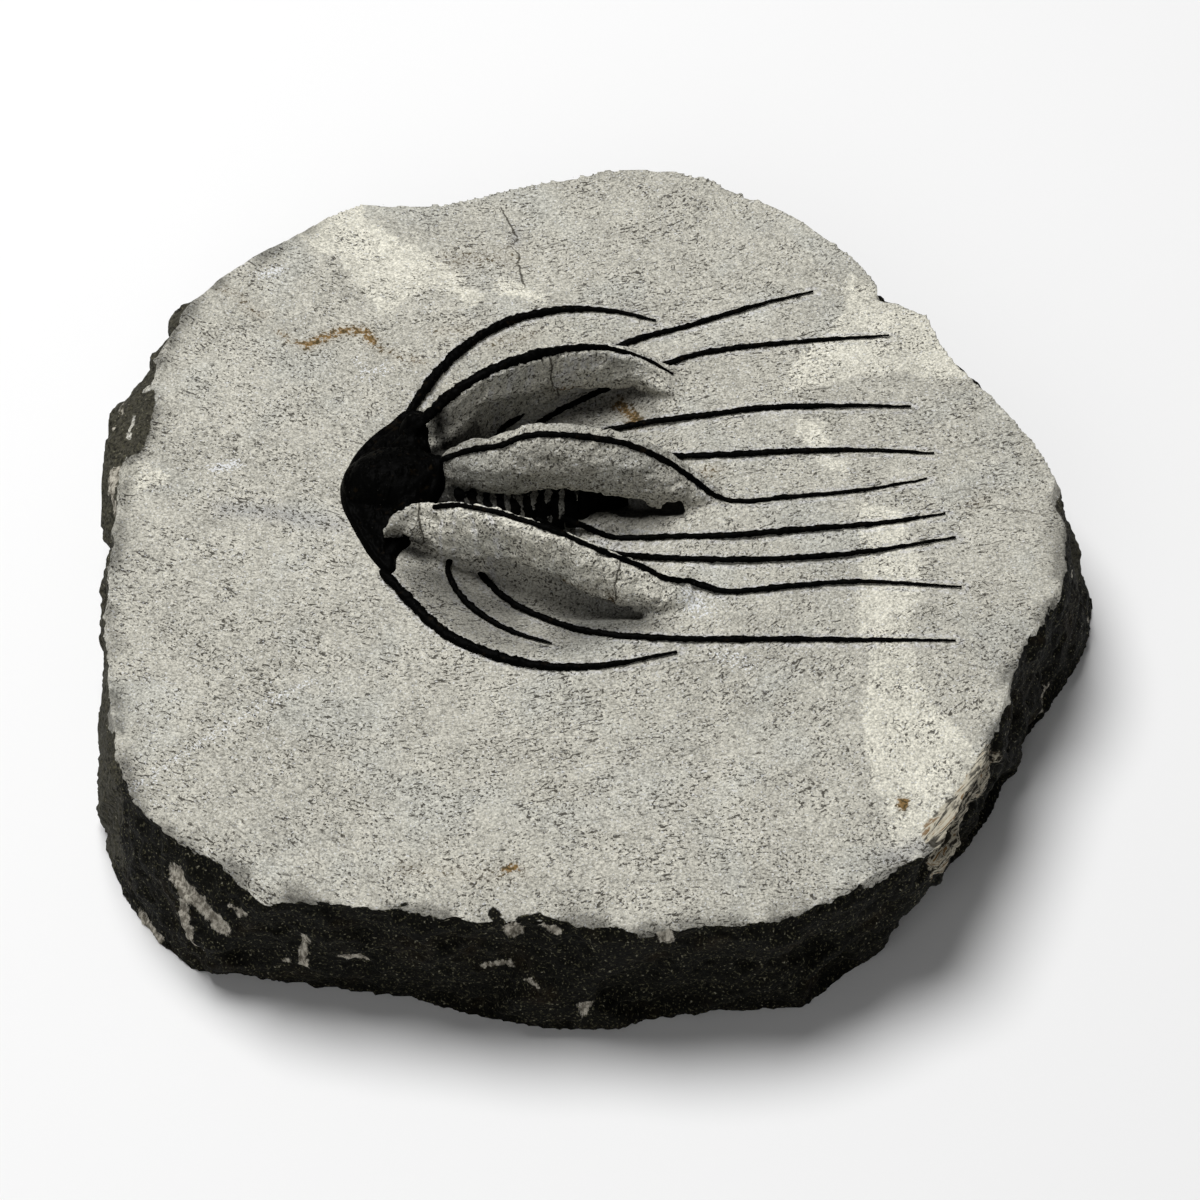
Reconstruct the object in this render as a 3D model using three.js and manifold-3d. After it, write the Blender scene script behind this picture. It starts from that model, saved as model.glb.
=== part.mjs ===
// A spiny fossil trilobite lying on its prepared slab of dark limestone.
// Millimetres, +Z up, the slab's flat underside on z = 0, the animal's head towards -X.
//
// The animal is drawn in its own frame: s runs from the front of the head towards the tail,
// t runs across the body (positive on its right side), h is the height over the prepared face.

import * as THREE from 'three';
import { mergeVertices } from 'three/addons/utils/BufferGeometryUtils.js';
import Module from 'manifold-3d';

const wasm = await Module();
wasm.setup();

// ---------------------------------------------------------------- driving dimensions

const SLAB_THICKNESS = 18;
const GAP = 0.3; // clearance between the shell and the rock around it

const HEAD_FRONT = [-28.3, 4.4]; // x, y of the front of the head on the prepared face
const BODY_TURN = 2; // degrees from +X to the animal's long axis

// The hollow that was cut into the rock around the body.
const HOLLOW_CENTRE = 22;
const HOLLOW_LENGTH = 38;
const HOLLOW_WIDTH = 50;
const HOLLOW_DEPTH = 3;
const HOLLOW_FLAT_PART = 0.45; // share of the radius that is level floor

const BODY_FOOT = -3.7; // the shell's underside, set a little into the floor
const BODY_CREST = 0.8;

const THORAX_START = 12.4;
const SEGMENT_COUNT = 9;
const SEGMENT_PITCH = 1.43;
const FIRST_HALF_WIDTH = 6.3;
const LAST_HALF_WIDTH = 4.5;

const PYGIDIUM_LENGTH = 5.6;
const PYGIDIUM_SINK = 2.2; // how far its top falls towards the tail
const PYGIDIUM_STATIONS = [0, 0.25, 0.5, 0.7, 0.86, 0.96]; // shares of its length

const FIN_ROOT = -4.5; // the fins grow out of the rock from here
const SIDE_FIN_STATIONS = 12;
const MIDDLE_FIN_STATIONS = 14;
const MIDDLE_FIN_ROOT_START = 36.6; // the middle fin is free underneath up to here

const GENAL_RADIUS = 0.45;
const PLEURAL_RADIUS = 0.42;
const RAISED_RADIUS = 0.4;
const TIP_SHARE = 0.35; // a spine's tip radius over its full radius
const SPINE_SIDES = 6;
const SPINE_STEP = 3.2;
const FINE_STEP = 1.9; // for the strongly curved spines

const SLAB_COLUMNS = 84;
const HOLLOW_COLUMNS = 28;
const HOLLOW_RINGS = [0.02, 0.45, 0.6, 0.72, 0.84, 0.94, 1]; // shares of its radius

// The edge of the prepared face, and the edge of the underside, clockwise from the back left.
const RIM = [
  [-47.6, 29], [-44.6, 33.7], [-40.4, 38.1], [-35.5, 41.9], [-31.2, 45.5], [-27.3, 47.5], [-18.8, 47.2],
  [-9.7, 50.2], [-0.6, 52.9], [5.1, 53.2], [9.7, 52.5], [14.2, 50.4], [23.1, 43.9], [26.9, 40],
  [29.6, 36.5], [31.6, 32.1], [34.3, 30.9], [36.4, 28.3], [37.3, 24.5], [41.8, 17.7], [45.7, 11.8],
  [48.9, 3.9], [47.8, -8.6], [45, -14.1], [42.6, -18.1], [40.6, -24.7], [37, -34.3], [33, -43.6],
  [29.9, -46], [27.5, -45.4], [23.9, -48.5], [18.9, -51.1], [13, -52.6], [5.2, -53.2], [-4.5, -52],
  [-10.3, -52.6], [-20.1, -50.9], [-27, -50.3], [-33.9, -47.9], [-42.2, -42.4], [-47.4, -38],
  [-50.5, -24.7], [-51.9, -11.4], [-51.6, 5.3], [-49.3, 14], [-48.7, 21.5],
];
const FOOT = [
  [-51, 27], [-46, 35], [-38, 42], [-30, 47], [-20, 49.5], [-9, 51.5], [3, 52.8], [14, 52], [25, 48.5],
  [34, 43], [41, 36], [46, 27], [50.5, 18], [53, 10], [53.8, 3.7], [52.2, -3.6], [48.4, -10.5],
  [43.7, -17.4], [41.2, -24.2], [37.7, -30.8], [33.2, -34.8], [28.8, -41], [27.2, -43.9], [23.1, -47.2],
  [20.4, -50.1], [8.5, -50.7], [0.4, -52.8], [-4.6, -53], [-12.7, -51.4], [-20.9, -48.6], [-34.2, -46.7],
  [-43.5, -45.2], [-49.7, -37], [-51.9, -31.6], [-52.9, -23.8], [-53.7, -10.3], [-53.7, 3], [-53.4, 15],
];
const WAIST_HEIGHTS = [4, 10, 16];
const WAIST_BULGE = 0.5;
const SHOULDER_BULGE = 1.9; // the broken shoulder at the back left
const SHOULDER_ANGLE = 160; // degrees from +X
const SHOULDER_SPREAD = 13;

// The head's edge from above, s and t.
const HEAD_OUTLINE = [
  [0, -1.4], [0, 0.3], [0.5, 2.1], [1.4, 4.4], [2.6, 6.3], [3.9, 7.8], [5.2, 9], [6.6, 10.6], [7.8, 10.8],
  [9.2, 10.4], [9.7, 8.8], [9.7, 6.8], [9.8, 4.8], [10.4, 3], [11.2, 1.6], [11.2, -1.6], [10.3, -3.4],
  [9.4, -5.2], [8.4, -7], [6.9, -8.4], [6, -10], [5.9, -11.8], [4.9, -12.3], [3.4, -10.4], [2.2, -8.1],
  [1.1, -5.4], [0.3, -3.1],
];
const HEAD_MIDDLE = [5.5, -0.5];
const HEAD_HEIGHT = 4.1;

// The arch that the two outer raised spines share, on the right side: s, t, h.
const SIDE_ARCH = [
  [9.2, 6.5, 3.6], [13, 8.6, 6.2], [18, 11.1, 7.2], [23, 13.1, 6.7], [28, 14.8, 5.1], [33, 15.2, 2.7],
  [36.2, 14.5, 0.7],
];
const MIDDLE_ARCH = [
  [11.2, 0, 4], [15.5, 0, 6], [20.5, 0, 7.7], [25.5, -0.2, 7.6], [30.5, -0.7, 6.7], [35.5, -1.6, 3.8],
  [38, -2.4, 1.9], [41, -3.4, 0.1],
];

// Spines that lie on the rock: s, t, and h only where the spine stands off the floor.
const PLATE_SPINES = {
  genal_spine_left: [
    [5, -12.8], [7, -15.7], [11.2, -20.9], [16.4, -24], [22.2, -25.6], [27.6, -25.5], [34.8, -24],
  ],
  genal_spine_right: [
    [7.8, 11.5], [10.6, 16.6], [14.4, 21], [19.2, 24.1], [25.5, 25.4], [30.8, 24.7], [34.7, 23.3],
  ],
  pleural_spine_left_1: [
    [13, -6.7, -1.6], [11.5, -9.1], [11.4, -11], [12.2, -13.8], [14.1, -16.8], [17.6, -20], [22, -22.2],
  ],
  pleural_spine_left_2: [
    [15.4, -6.5, -1.7], [14.5, -8.8], [16.9, -13.7], [21.3, -17.7], [25.9, -20.5], [33, -22.1], [47.6, -22.8],
    [63.6, -23.5],
  ],
  pleural_spine_left_3: [
    [23, -5.3, -1.9], [26.2, -6.9], [30.3, -8.4], [34.4, -10.3], [38.5, -11.6], [45.6, -11.8], [54, -11.3],
    [64.9, -9.5],
  ],
  pleural_spine_left_4: [
    [25.8, -4.9, -1.8], [28.5, -5.5], [33.2, -6.5], [36, -7.5], [40.1, -8.4], [48.7, -7.8], [57.2, -7.2],
    [64.1, -6.1],
  ],
  pleural_spine_right_1: [
    [16.4, 6.5, -1.8], [17.4, 9.6, -2.2], [20, 12.8], [24, 16.2], [30.9, 19.9], [38.3, 22.4], [46.4, 25.4],
    [52.4, 27.2],
  ],
  pleural_spine_right_2: [
    [18.6, 6, -1.8], [21.8, 11.4], [24.9, 13.4], [28.4, 14.7], [35.2, 16.6], [38.6, 17.9], [43.1, 18.8],
    [52.6, 19.7], [60.3, 20.1],
  ],
  pleural_spine_right_3: [
    [23, 5.3, -1.9], [25.5, 8.3], [29.8, 9.7], [33.9, 9.5], [38.1, 8.9], [45.5, 9.7], [54.2, 9.8],
    [61.8, 9.4],
  ],
  pleural_spine_right_4: [
    [25.8, 4.9, -1.8], [28.5, 5.6], [32.5, 5.2], [36.4, 4.1], [39.3, 3.2], [47.9, 3.3], [56.6, 3.2],
    [63.7, 2.5],
  ],
};
const STRONGLY_CURVED = ['genal_spine_left', 'genal_spine_right', 'pleural_spine_left_1'];
const OCCIPITAL_TAIL = [[47.5, -3.2, 0.1], [56.2, -2.4, 0.1], [62.6, -1.1, 0.1]];
const PALPEBRAL_LEFT_TAIL = [[39.8, -16, 0.1], [46.7, -15.6, 0.1], [53.8, -15.2, 0.1], [64.9, -16.3, 0.1]];

// ---------------------------------------------------------------- materials

function rock() {
  return new THREE.MeshStandardMaterial({ color: 0xb2afa3, roughness: 0.9, metalness: 0 });
}

function shell() {
  return new THREE.MeshStandardMaterial({ color: 0x121211, roughness: 0.5, metalness: 0 });
}

// ---------------------------------------------------------------- geometry helpers

// Joins rings of points, all of one length, into a closed surface with a fan over each end.
function loft(rings) {
  const count = rings[0].length;
  const positions = [];
  for (const ring of rings) {
    for (const point of ring) {
      positions.push(point.x, point.y, point.z);
    }
  }
  const index = [];
  for (let row = 0; row + 1 < rings.length; row += 1) {
    for (let i = 0; i < count; i += 1) {
      const a = row * count + i;
      const b = row * count + ((i + 1) % count);
      index.push(a, b, b + count, a, b + count, a + count);
    }
  }
  for (const [row, turn] of [[0, 1], [rings.length - 1, 0]]) {
    const middle = new THREE.Vector3();
    for (const point of rings[row]) {
      middle.addScaledVector(point, 1 / count);
    }
    const hub = positions.length / 3;
    positions.push(middle.x, middle.y, middle.z);
    for (let i = 0; i < count; i += 1) {
      const a = row * count + i;
      const b = row * count + ((i + 1) % count);
      index.push(...(turn ? [b, a, hub] : [a, b, hub]));
    }
  }
  const geometry = new THREE.BufferGeometry();
  geometry.setAttribute('position', new THREE.Float32BufferAttribute(positions, 3));
  geometry.setIndex(index);
  return facingOut(geometry);
}

// Turns the faces round if they face inwards.
function facingOut(geometry) {
  const position = geometry.getAttribute('position');
  const index = geometry.getIndex().array;
  const [a, b, c] = [new THREE.Vector3(), new THREE.Vector3(), new THREE.Vector3()];
  let volume = 0;
  for (let i = 0; i < index.length; i += 3) {
    a.fromBufferAttribute(position, index[i]);
    b.fromBufferAttribute(position, index[i + 1]);
    c.fromBufferAttribute(position, index[i + 2]);
    volume += a.dot(b.cross(c));
  }
  if (volume < 0) {
    const turned = [];
    for (let i = 0; i < index.length; i += 3) {
      turned.push(index[i], index[i + 2], index[i + 1]);
    }
    geometry.setIndex(turned);
  }
  return geometry;
}

// A geometry as a solid for cutting and joining.
function solid(geometry) {
  const bare = geometry.clone();
  bare.deleteAttribute('normal');
  bare.deleteAttribute('uv');
  const merged = mergeVertices(bare, 1e-5);
  const kept = [];
  const index = merged.getIndex().array;
  for (let i = 0; i < index.length; i += 3) {
    const [a, b, c] = [index[i], index[i + 1], index[i + 2]];
    if (a !== b && b !== c && c !== a) {
      kept.push(a, b, c);
    }
  }
  return new wasm.Manifold(new wasm.Mesh({
    numProp: 3,
    vertProperties: new Float32Array(merged.getAttribute('position').array),
    triVerts: new Uint32Array(kept),
  }));
}

function geometryOf(manifold) {
  const mesh = manifold.getMesh();
  const geometry = new THREE.BufferGeometry();
  geometry.setAttribute('position', new THREE.BufferAttribute(mesh.vertProperties, 3));
  geometry.setIndex(new THREE.BufferAttribute(mesh.triVerts, 1));
  return geometry;
}

function piece(name, geometry, material) {
  const mesh = new THREE.Mesh(geometry, material);
  mesh.name = name;
  return mesh;
}

// How far a closed outline lies from the origin in the direction of an angle.
function outlineReach(outline, angle) {
  const ray = new THREE.Vector2(Math.cos(angle), Math.sin(angle));
  let reach = 0;
  outline.forEach((from, i) => {
    const start = new THREE.Vector2(...from);
    const along = new THREE.Vector2(...outline[(i + 1) % outline.length]).sub(start);
    const share = start.cross(ray) / ray.cross(along);
    if (share >= 0 && share <= 1) {
      reach = Math.max(reach, start.addScaledVector(along, share).dot(ray));
    }
  });
  return reach;
}

// ---------------------------------------------------------------- the rock's prepared face

function hollowFloor(radius) {
  const rise = THREE.MathUtils.smoothstep(radius, HOLLOW_FLAT_PART, 1);
  return -HOLLOW_DEPTH * (1 - rise);
}

function floorAt(s, t) {
  const across = t / (HOLLOW_WIDTH / 2);
  const along = (s - HOLLOW_CENTRE) / (HOLLOW_LENGTH / 2);
  return hollowFloor(Math.hypot(across, along));
}

function hollowCutter() {
  const lid = 3;
  return loft([...HOLLOW_RINGS.map((radius) => hollowRing(radius, hollowFloor(radius))), hollowRing(1, lid)]);
}

function hollowRing(radius, h) {
  const ring = [];
  for (let i = 0; i < HOLLOW_COLUMNS; i += 1) {
    const angle = (i / HOLLOW_COLUMNS) * 2 * Math.PI;
    const s = HOLLOW_CENTRE + radius * (HOLLOW_LENGTH / 2) * Math.cos(angle);
    const t = radius * (HOLLOW_WIDTH / 2) * Math.sin(angle);
    ring.push(new THREE.Vector3(s, t, h));
  }
  return ring;
}

// ---------------------------------------------------------------- spines

function spineCurve(points) {
  const lift = 0.1;
  return new THREE.CatmullRomCurve3(
    points.map(([s, t, h]) => new THREE.Vector3(s, t, h ?? floorAt(s, t) + lift)),
  );
}

// A round tube along a curve; radiusAt gives its radius at a share of the length.
function tube(curve, step, radiusAt) {
  const steps = Math.round(curve.getLength() / step);
  const frames = curve.computeFrenetFrames(steps);
  const rings = [];
  for (let i = 0; i <= steps; i += 1) {
    const middle = curve.getPointAt(i / steps);
    const ring = [];
    for (let k = 0; k < SPINE_SIDES; k += 1) {
      const angle = (k / SPINE_SIDES) * 2 * Math.PI;
      const radius = radiusAt(i / steps);
      ring.push(middle.clone()
        .addScaledVector(frames.normals[i], radius * Math.cos(angle))
        .addScaledVector(frames.binormals[i], radius * Math.sin(angle)));
    }
    rings.push(ring);
  }
  return loft(rings);
}

// A spine keeps its thickness over the first half and narrows to its tip.
function taper(radius) {
  return (share) => radius * THREE.MathUtils.lerp(1, TIP_SHARE, Math.max(0, 2 * share - 1) ** 2);
}

function allSpines() {
  const mirrored = SIDE_ARCH.map(([s, t, h]) => [s, -t, h]);
  const spines = [
    { name: 'occipital_spine', points: [...MIDDLE_ARCH, ...OCCIPITAL_TAIL], radius: RAISED_RADIUS },
    { name: 'palpebral_spine_left', points: [...mirrored, ...PALPEBRAL_LEFT_TAIL], radius: RAISED_RADIUS },
    { name: 'palpebral_spine_right', points: SIDE_ARCH, radius: RAISED_RADIUS },
  ];
  for (const [name, points] of Object.entries(PLATE_SPINES)) {
    const radius = name.startsWith('genal') ? GENAL_RADIUS : PLEURAL_RADIUS;
    spines.push({ name, points, radius });
  }
  for (const spine of spines) {
    spine.curve = spineCurve(spine.points);
    spine.step = STRONGLY_CURVED.includes(spine.name) ? FINE_STEP : SPINE_STEP;
  }
  return spines;
}

// ---------------------------------------------------------------- the rock fins under the raised spines

// One fin: its sections stand across the body, one for each share of the spine's arch.
function fin(curve, stations, section) {
  const rings = [];
  for (let i = 0; i <= stations; i += 1) {
    const ridge = curve.getPointAt(i / stations);
    rings.push(section(ridge).map(([out, h]) => new THREE.Vector3(ridge.x, ridge.y + out, h)));
  }
  return loft(rings);
}

// An outer fin leans out, with a lip along its foot on both sides; side is -1 on the left.
function sideFin(side) {
  const curve = spineCurve(SIDE_ARCH.map(([s, t, h]) => [s, side * t, h]));
  return fin(curve, SIDE_FIN_STATIONS, (ridge) => {
    const top = ridge.z - 0.1;
    const merge = 1.6 * THREE.MathUtils.smoothstep(26 - ridge.x, 0, 12);
    const outline = [
      [-0.7, top - 0.2], [0, top], [0.9, top - 0.2], [1.6, 0.62 * top], [2.1, 0.3 * top], [1.4, 0.05 * top],
      [1.2, FIN_ROOT], [-0.8 - merge, FIN_ROOT], [-0.8 - merge, -1.5], [-1.5, 0.25 * top], [-1.2, 0.6 * top],
    ];
    return outline.map(([out, h]) => [side * out, h]);
  });
}

// The middle fin is free underneath as far as its right-hand end, which roots in the rock.
function middleFin() {
  return fin(spineCurve(MIDDLE_ARCH), MIDDLE_FIN_STATIONS, (ridge) => {
    const top = ridge.z - 0.1;
    const sag = THREE.MathUtils.smoothstep(ridge.x, 24, 33);
    const fullHang = Math.min(BODY_CREST + 0.5 - 2.6 * sag, top - 0.8);
    const hang = ridge.x > MIDDLE_FIN_ROOT_START ? FIN_ROOT : fullHang;
    const wide = THREE.MathUtils.smoothstep(ridge.x, 9.5, 16);
    const half = 0.9 + 1.4 * wide;
    const belly = THREE.MathUtils.lerp(hang, top, 0.35);
    return [
      [-0.6, top - 0.1], [0.5, top], [1.3, top - 0.2], [half, belly], [half - 0.2, hang],
      [-half + 0.2, hang], [-half, belly], [-0.85 * half, THREE.MathUtils.lerp(hang, top, 0.75)],
    ];
  });
}

// ---------------------------------------------------------------- the animal's body

function hump(a, b) {
  return Math.sqrt(Math.max(0, 1 - a * a - b * b));
}

// The head's surface: a tall middle lobe, an eye lobe on each side and flat cheeks.
function headSurface(s, t) {
  const glabella = HEAD_HEIGHT * hump((s - 7) / 7.2, (t + 0.3) / 5.4);
  const eye = 3 * hump((s - 8) / 3.6, (Math.abs(t) - 6.4) / 3.4);
  const cheek = 1.1;
  return Math.max(glabella, eye, cheek);
}

function headRing(scale, heightAt) {
  const [ms, mt] = HEAD_MIDDLE;
  return HEAD_OUTLINE.map(([s, t]) => {
    const [ps, pt] = [ms + scale * (s - ms), mt + scale * (t - mt)];
    return new THREE.Vector3(ps, pt, heightAt(ps, pt));
  });
}

function cephalon() {
  const brim = 0.2;
  const rings = [headRing(1, () => BODY_FOOT), headRing(1, () => brim)];
  for (const scale of [0.95, 0.86, 0.74, 0.6, 0.45, 0.3, 0.15, 0.02]) {
    rings.push(headRing(scale, headSurface));
  }
  return loft(rings);
}

// An arched cross-section of the body: a raised middle lobe between two sloping side lobes.
function bodySection(halfWidth, crest) {
  const half = [
    [1, -2.9], [0.94, -1.9], [0.78, -0.9], [0.6, -0.35], [0.46, -0.25], [0.34, 0.45], [0.16, 0.9], [0, 1],
  ].map(([across, up]) => [across * halfWidth, up * (up > 0 ? crest : 1)]);
  const left = half.slice(0, -1).map(([t, h]) => [-t, h]).reverse();
  return [[halfWidth, BODY_FOOT], ...half, ...left, [-halfWidth, BODY_FOOT]];
}

function thoraxSegment(number) {
  const share = (number - 1) / (SEGMENT_COUNT - 1);
  const halfWidth = THREE.MathUtils.lerp(FIRST_HALF_WIDTH, LAST_HALF_WIDTH, share);
  const start = THORAX_START + (number - 1) * SEGMENT_PITCH;
  const section = bodySection(halfWidth, BODY_CREST);
  const rings = [start, start + SEGMENT_PITCH - GAP].map(
    (s) => section.map(([t, h]) => new THREE.Vector3(s, t, h)),
  );
  return loft(rings);
}

function pygidium() {
  const start = THORAX_START + SEGMENT_COUNT * SEGMENT_PITCH;
  const rings = [];
  for (const share of PYGIDIUM_STATIONS) {
    const round = Math.sqrt(1 - share * share);
    const sink = PYGIDIUM_SINK * share * share;
    rings.push(bodySection(LAST_HALF_WIDTH * round, BODY_CREST).map(([t, h]) => new THREE.Vector3(
      start + share * PYGIDIUM_LENGTH,
      t,
      h === BODY_FOOT ? h : Math.max(h - sink, BODY_FOOT + 0.2),
    )));
  }
  return loft(rings);
}

// ---------------------------------------------------------------- seats for the shell in the rock

function prism(outline, bottom, top) {
  return loft([bottom, top].map((h) => outline.map(([s, t]) => new THREE.Vector3(s, t, h))));
}

function headSeat() {
  const [ms, mt] = HEAD_MIDDLE;
  const grow = 1.065;
  return prism(
    HEAD_OUTLINE.map(([s, t]) => [ms + grow * (s - ms), mt + grow * (t - mt)]),
    BODY_FOOT - GAP,
    HEAD_HEIGHT + 3,
  );
}

function bodySeat() {
  const start = THORAX_START - GAP;
  const tail = THORAX_START + SEGMENT_COUNT * SEGMENT_PITCH;
  const outline = [[start, -FIRST_HALF_WIDTH - GAP], [tail, -LAST_HALF_WIDTH - GAP]];
  for (let i = 1; i < 12; i += 1) {
    const angle = (i / 12) * Math.PI;
    const s = tail + (PYGIDIUM_LENGTH + GAP) * Math.sin(angle);
    outline.push([s, -(LAST_HALF_WIDTH + GAP) * Math.cos(angle)]);
  }
  outline.push([tail, LAST_HALF_WIDTH + GAP], [start, FIRST_HALF_WIDTH + GAP]);
  return prism(outline, BODY_FOOT - GAP, BODY_CREST + GAP);
}

// ---------------------------------------------------------------- the slab

// How far the broken side stands out beyond the straight line from the foot to the rim.
function sideBulge(angle) {
  const away = (THREE.MathUtils.radToDeg(angle) - SHOULDER_ANGLE) / SHOULDER_SPREAD;
  return WAIST_BULGE + SHOULDER_BULGE * Math.exp(-away * away);
}

function slabRing(z) {
  const share = z / SLAB_THICKNESS;
  const isWaist = share > 0 && share < 1;
  const ring = [];
  for (let i = 0; i < SLAB_COLUMNS; i += 1) {
    const angle = (i / SLAB_COLUMNS) * 2 * Math.PI;
    const straight = THREE.MathUtils.lerp(outlineReach(FOOT, angle), outlineReach(RIM, angle), share);
    const reach = straight + (isWaist ? sideBulge(angle) : 0);
    ring.push(new THREE.Vector3(reach * Math.cos(angle), reach * Math.sin(angle), z));
  }
  return ring;
}

function slabBlock() {
  return loft([0, ...WAIST_HEIGHTS, SLAB_THICKNESS].map(slabRing));
}

function matrixSlab(spines, frame) {
  const placed = (geometry) => solid(geometry.clone().applyMatrix4(frame));
  let slab = solid(slabBlock()).subtract(placed(hollowCutter()));
  for (const addition of [sideFin(-1), sideFin(1), middleFin()]) {
    slab = slab.add(placed(addition));
  }
  slab = slab.subtract(placed(headSeat())).subtract(placed(bodySeat()));
  for (const spine of spines) {
    const full = taper(spine.radius);
    slab = slab.subtract(placed(tube(spine.curve, spine.step, (share) => full(share) + GAP)));
  }
  return geometryOf(slab);
}

// ---------------------------------------------------------------- assembly

const animal = new THREE.Group();
animal.position.set(...HEAD_FRONT, SLAB_THICKNESS);
animal.rotation.z = THREE.MathUtils.degToRad(BODY_TURN);
animal.updateMatrix();

const spines = allSpines();
animal.add(piece('cephalon', cephalon(), shell()));
for (let number = 1; number <= SEGMENT_COUNT; number += 1) {
  animal.add(piece(`thorax_segment_${number}`, thoraxSegment(number), shell()));
}
animal.add(piece('pygidium', pygidium(), shell()));
for (const spine of spines) {
  animal.add(piece(spine.name, tube(spine.curve, spine.step, taper(spine.radius)), shell()));
}

const group = new THREE.Group();
group.add(piece('matrix_slab', matrixSlab(spines, animal.matrix), rock()));
group.add(animal);

export default group;
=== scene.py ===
"""A fossil trilobite on its slab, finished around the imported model.

Everything is in metres, and tables that say so are in millimetres. The animal has a frame of its
own: s runs from the front of its head towards the tail, t across it (positive on its right side)
and h is the height over the slab's prepared face.
"""

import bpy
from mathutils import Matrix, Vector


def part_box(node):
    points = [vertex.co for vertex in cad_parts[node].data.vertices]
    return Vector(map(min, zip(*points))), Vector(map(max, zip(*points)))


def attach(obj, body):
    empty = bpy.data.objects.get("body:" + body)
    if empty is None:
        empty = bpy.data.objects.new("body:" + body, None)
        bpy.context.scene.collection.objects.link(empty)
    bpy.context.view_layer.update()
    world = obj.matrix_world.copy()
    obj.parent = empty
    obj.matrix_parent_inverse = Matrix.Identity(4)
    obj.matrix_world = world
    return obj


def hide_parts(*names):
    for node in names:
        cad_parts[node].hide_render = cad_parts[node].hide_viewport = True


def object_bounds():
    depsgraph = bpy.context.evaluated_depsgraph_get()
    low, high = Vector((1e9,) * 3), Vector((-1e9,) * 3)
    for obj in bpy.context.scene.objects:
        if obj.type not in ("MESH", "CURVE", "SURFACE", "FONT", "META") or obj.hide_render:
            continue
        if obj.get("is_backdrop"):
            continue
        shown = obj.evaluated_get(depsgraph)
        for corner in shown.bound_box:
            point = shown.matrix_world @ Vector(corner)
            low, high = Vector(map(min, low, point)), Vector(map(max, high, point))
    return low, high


bl_info = {
    "name": "Fossil trilobite",
    "version": (1, 0, 0),
    "blender": (4, 5, 0),
    "location": "3D View > Sidebar > Fossil",
    "description": "Rock, shell and studio for a fossil trilobite on its slab",
    "category": "Add Mesh",
}

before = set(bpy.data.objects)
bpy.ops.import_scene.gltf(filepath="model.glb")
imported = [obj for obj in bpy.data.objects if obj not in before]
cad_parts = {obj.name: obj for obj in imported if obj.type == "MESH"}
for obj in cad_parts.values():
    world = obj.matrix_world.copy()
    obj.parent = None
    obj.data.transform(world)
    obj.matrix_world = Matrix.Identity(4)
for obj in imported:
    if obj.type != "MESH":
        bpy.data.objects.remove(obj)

import math

import bmesh
import bpy
import numpy as np
from bpy.props import FloatProperty, FloatVectorProperty, IntProperty, PointerProperty
from mathutils import Vector, kdtree, noise

MM = 0.001
BOX_LOW, BOX_HIGH = (np.array(corner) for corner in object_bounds())
SEGMENTS = sorted(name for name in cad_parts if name.startswith("thorax_segment"))
SPINES = sorted(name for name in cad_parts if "_spine" in name)
EDGE = np.array((0.01 * MM, 0.01 * MM, 0))  # how far inside the CAD model's box the pieces stay


# ------------------------------------------------------------------ settings


class FossilRock(bpy.types.PropertyGroup):
    face_height: FloatProperty(
        name="Prepared face", description="Height of the prepared face over the underside",
        default=18 * MM, unit="LENGTH", precision=5)
    hollow_centre: FloatProperty(
        name="Hollow centre", description="Middle of the hollow around the body, behind the head's front",
        default=22 * MM, unit="LENGTH", precision=5)
    hollow_length: FloatProperty(
        name="Hollow length", description="Length of the hollow", default=38 * MM, unit="LENGTH", precision=5)
    hollow_width: FloatProperty(
        name="Hollow width", description="Width of the hollow", default=50 * MM, unit="LENGTH", precision=5)
    hollow_depth: FloatProperty(
        name="Hollow depth", description="Depth of the hollow", default=3 * MM, unit="LENGTH", precision=5)
    grain: FloatProperty(
        name="Grain", description="Edge length that the rock's surface is resolved to",
        default=0.28 * MM, unit="LENGTH", precision=5)
    triangles: IntProperty(
        name="Triangles", description="Most triangles in the finished rock", default=192000)
    face_colour: FloatVectorProperty(
        name="Prepared face", description="Pale grey of the abraded limestone", subtype="COLOR", size=4,
        default=(0.47, 0.455, 0.395, 1))
    calcite_colour: FloatVectorProperty(
        name="Calcite", description="Cream of the calcite bands", subtype="COLOR", size=4,
        default=(0.62, 0.6, 0.515, 1))
    fleck_colour: FloatVectorProperty(
        name="Flecks", description="Dark flecks and tool marks", subtype="COLOR", size=4,
        default=(0.052, 0.047, 0.038, 1))
    rust_colour: FloatVectorProperty(
        name="Rust", description="Brown iron stains", subtype="COLOR", size=4,
        default=(0.24, 0.15, 0.06, 1))
    broken_colour: FloatVectorProperty(
        name="Broken rock", description="Near-black of the freshly broken sides", subtype="COLOR", size=4,
        default=(0.005, 0.0049, 0.0028, 1))


class FossilShell(bpy.types.PropertyGroup):
    head_front: FloatVectorProperty(
        name="Head front", description="Front of the head on the prepared face", size=2,
        default=(-28.3 * MM, 4.4 * MM), unit="LENGTH", precision=5)
    body_turn: FloatProperty(
        name="Body turn", description="Angle from +X to the animal's long axis",
        default=math.radians(2), subtype="ANGLE")
    shell_colour: FloatVectorProperty(
        name="Shell", description="Black fossil calcite", subtype="COLOR", size=4,
        default=(0.001, 0.001, 0.0009, 1))


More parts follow.
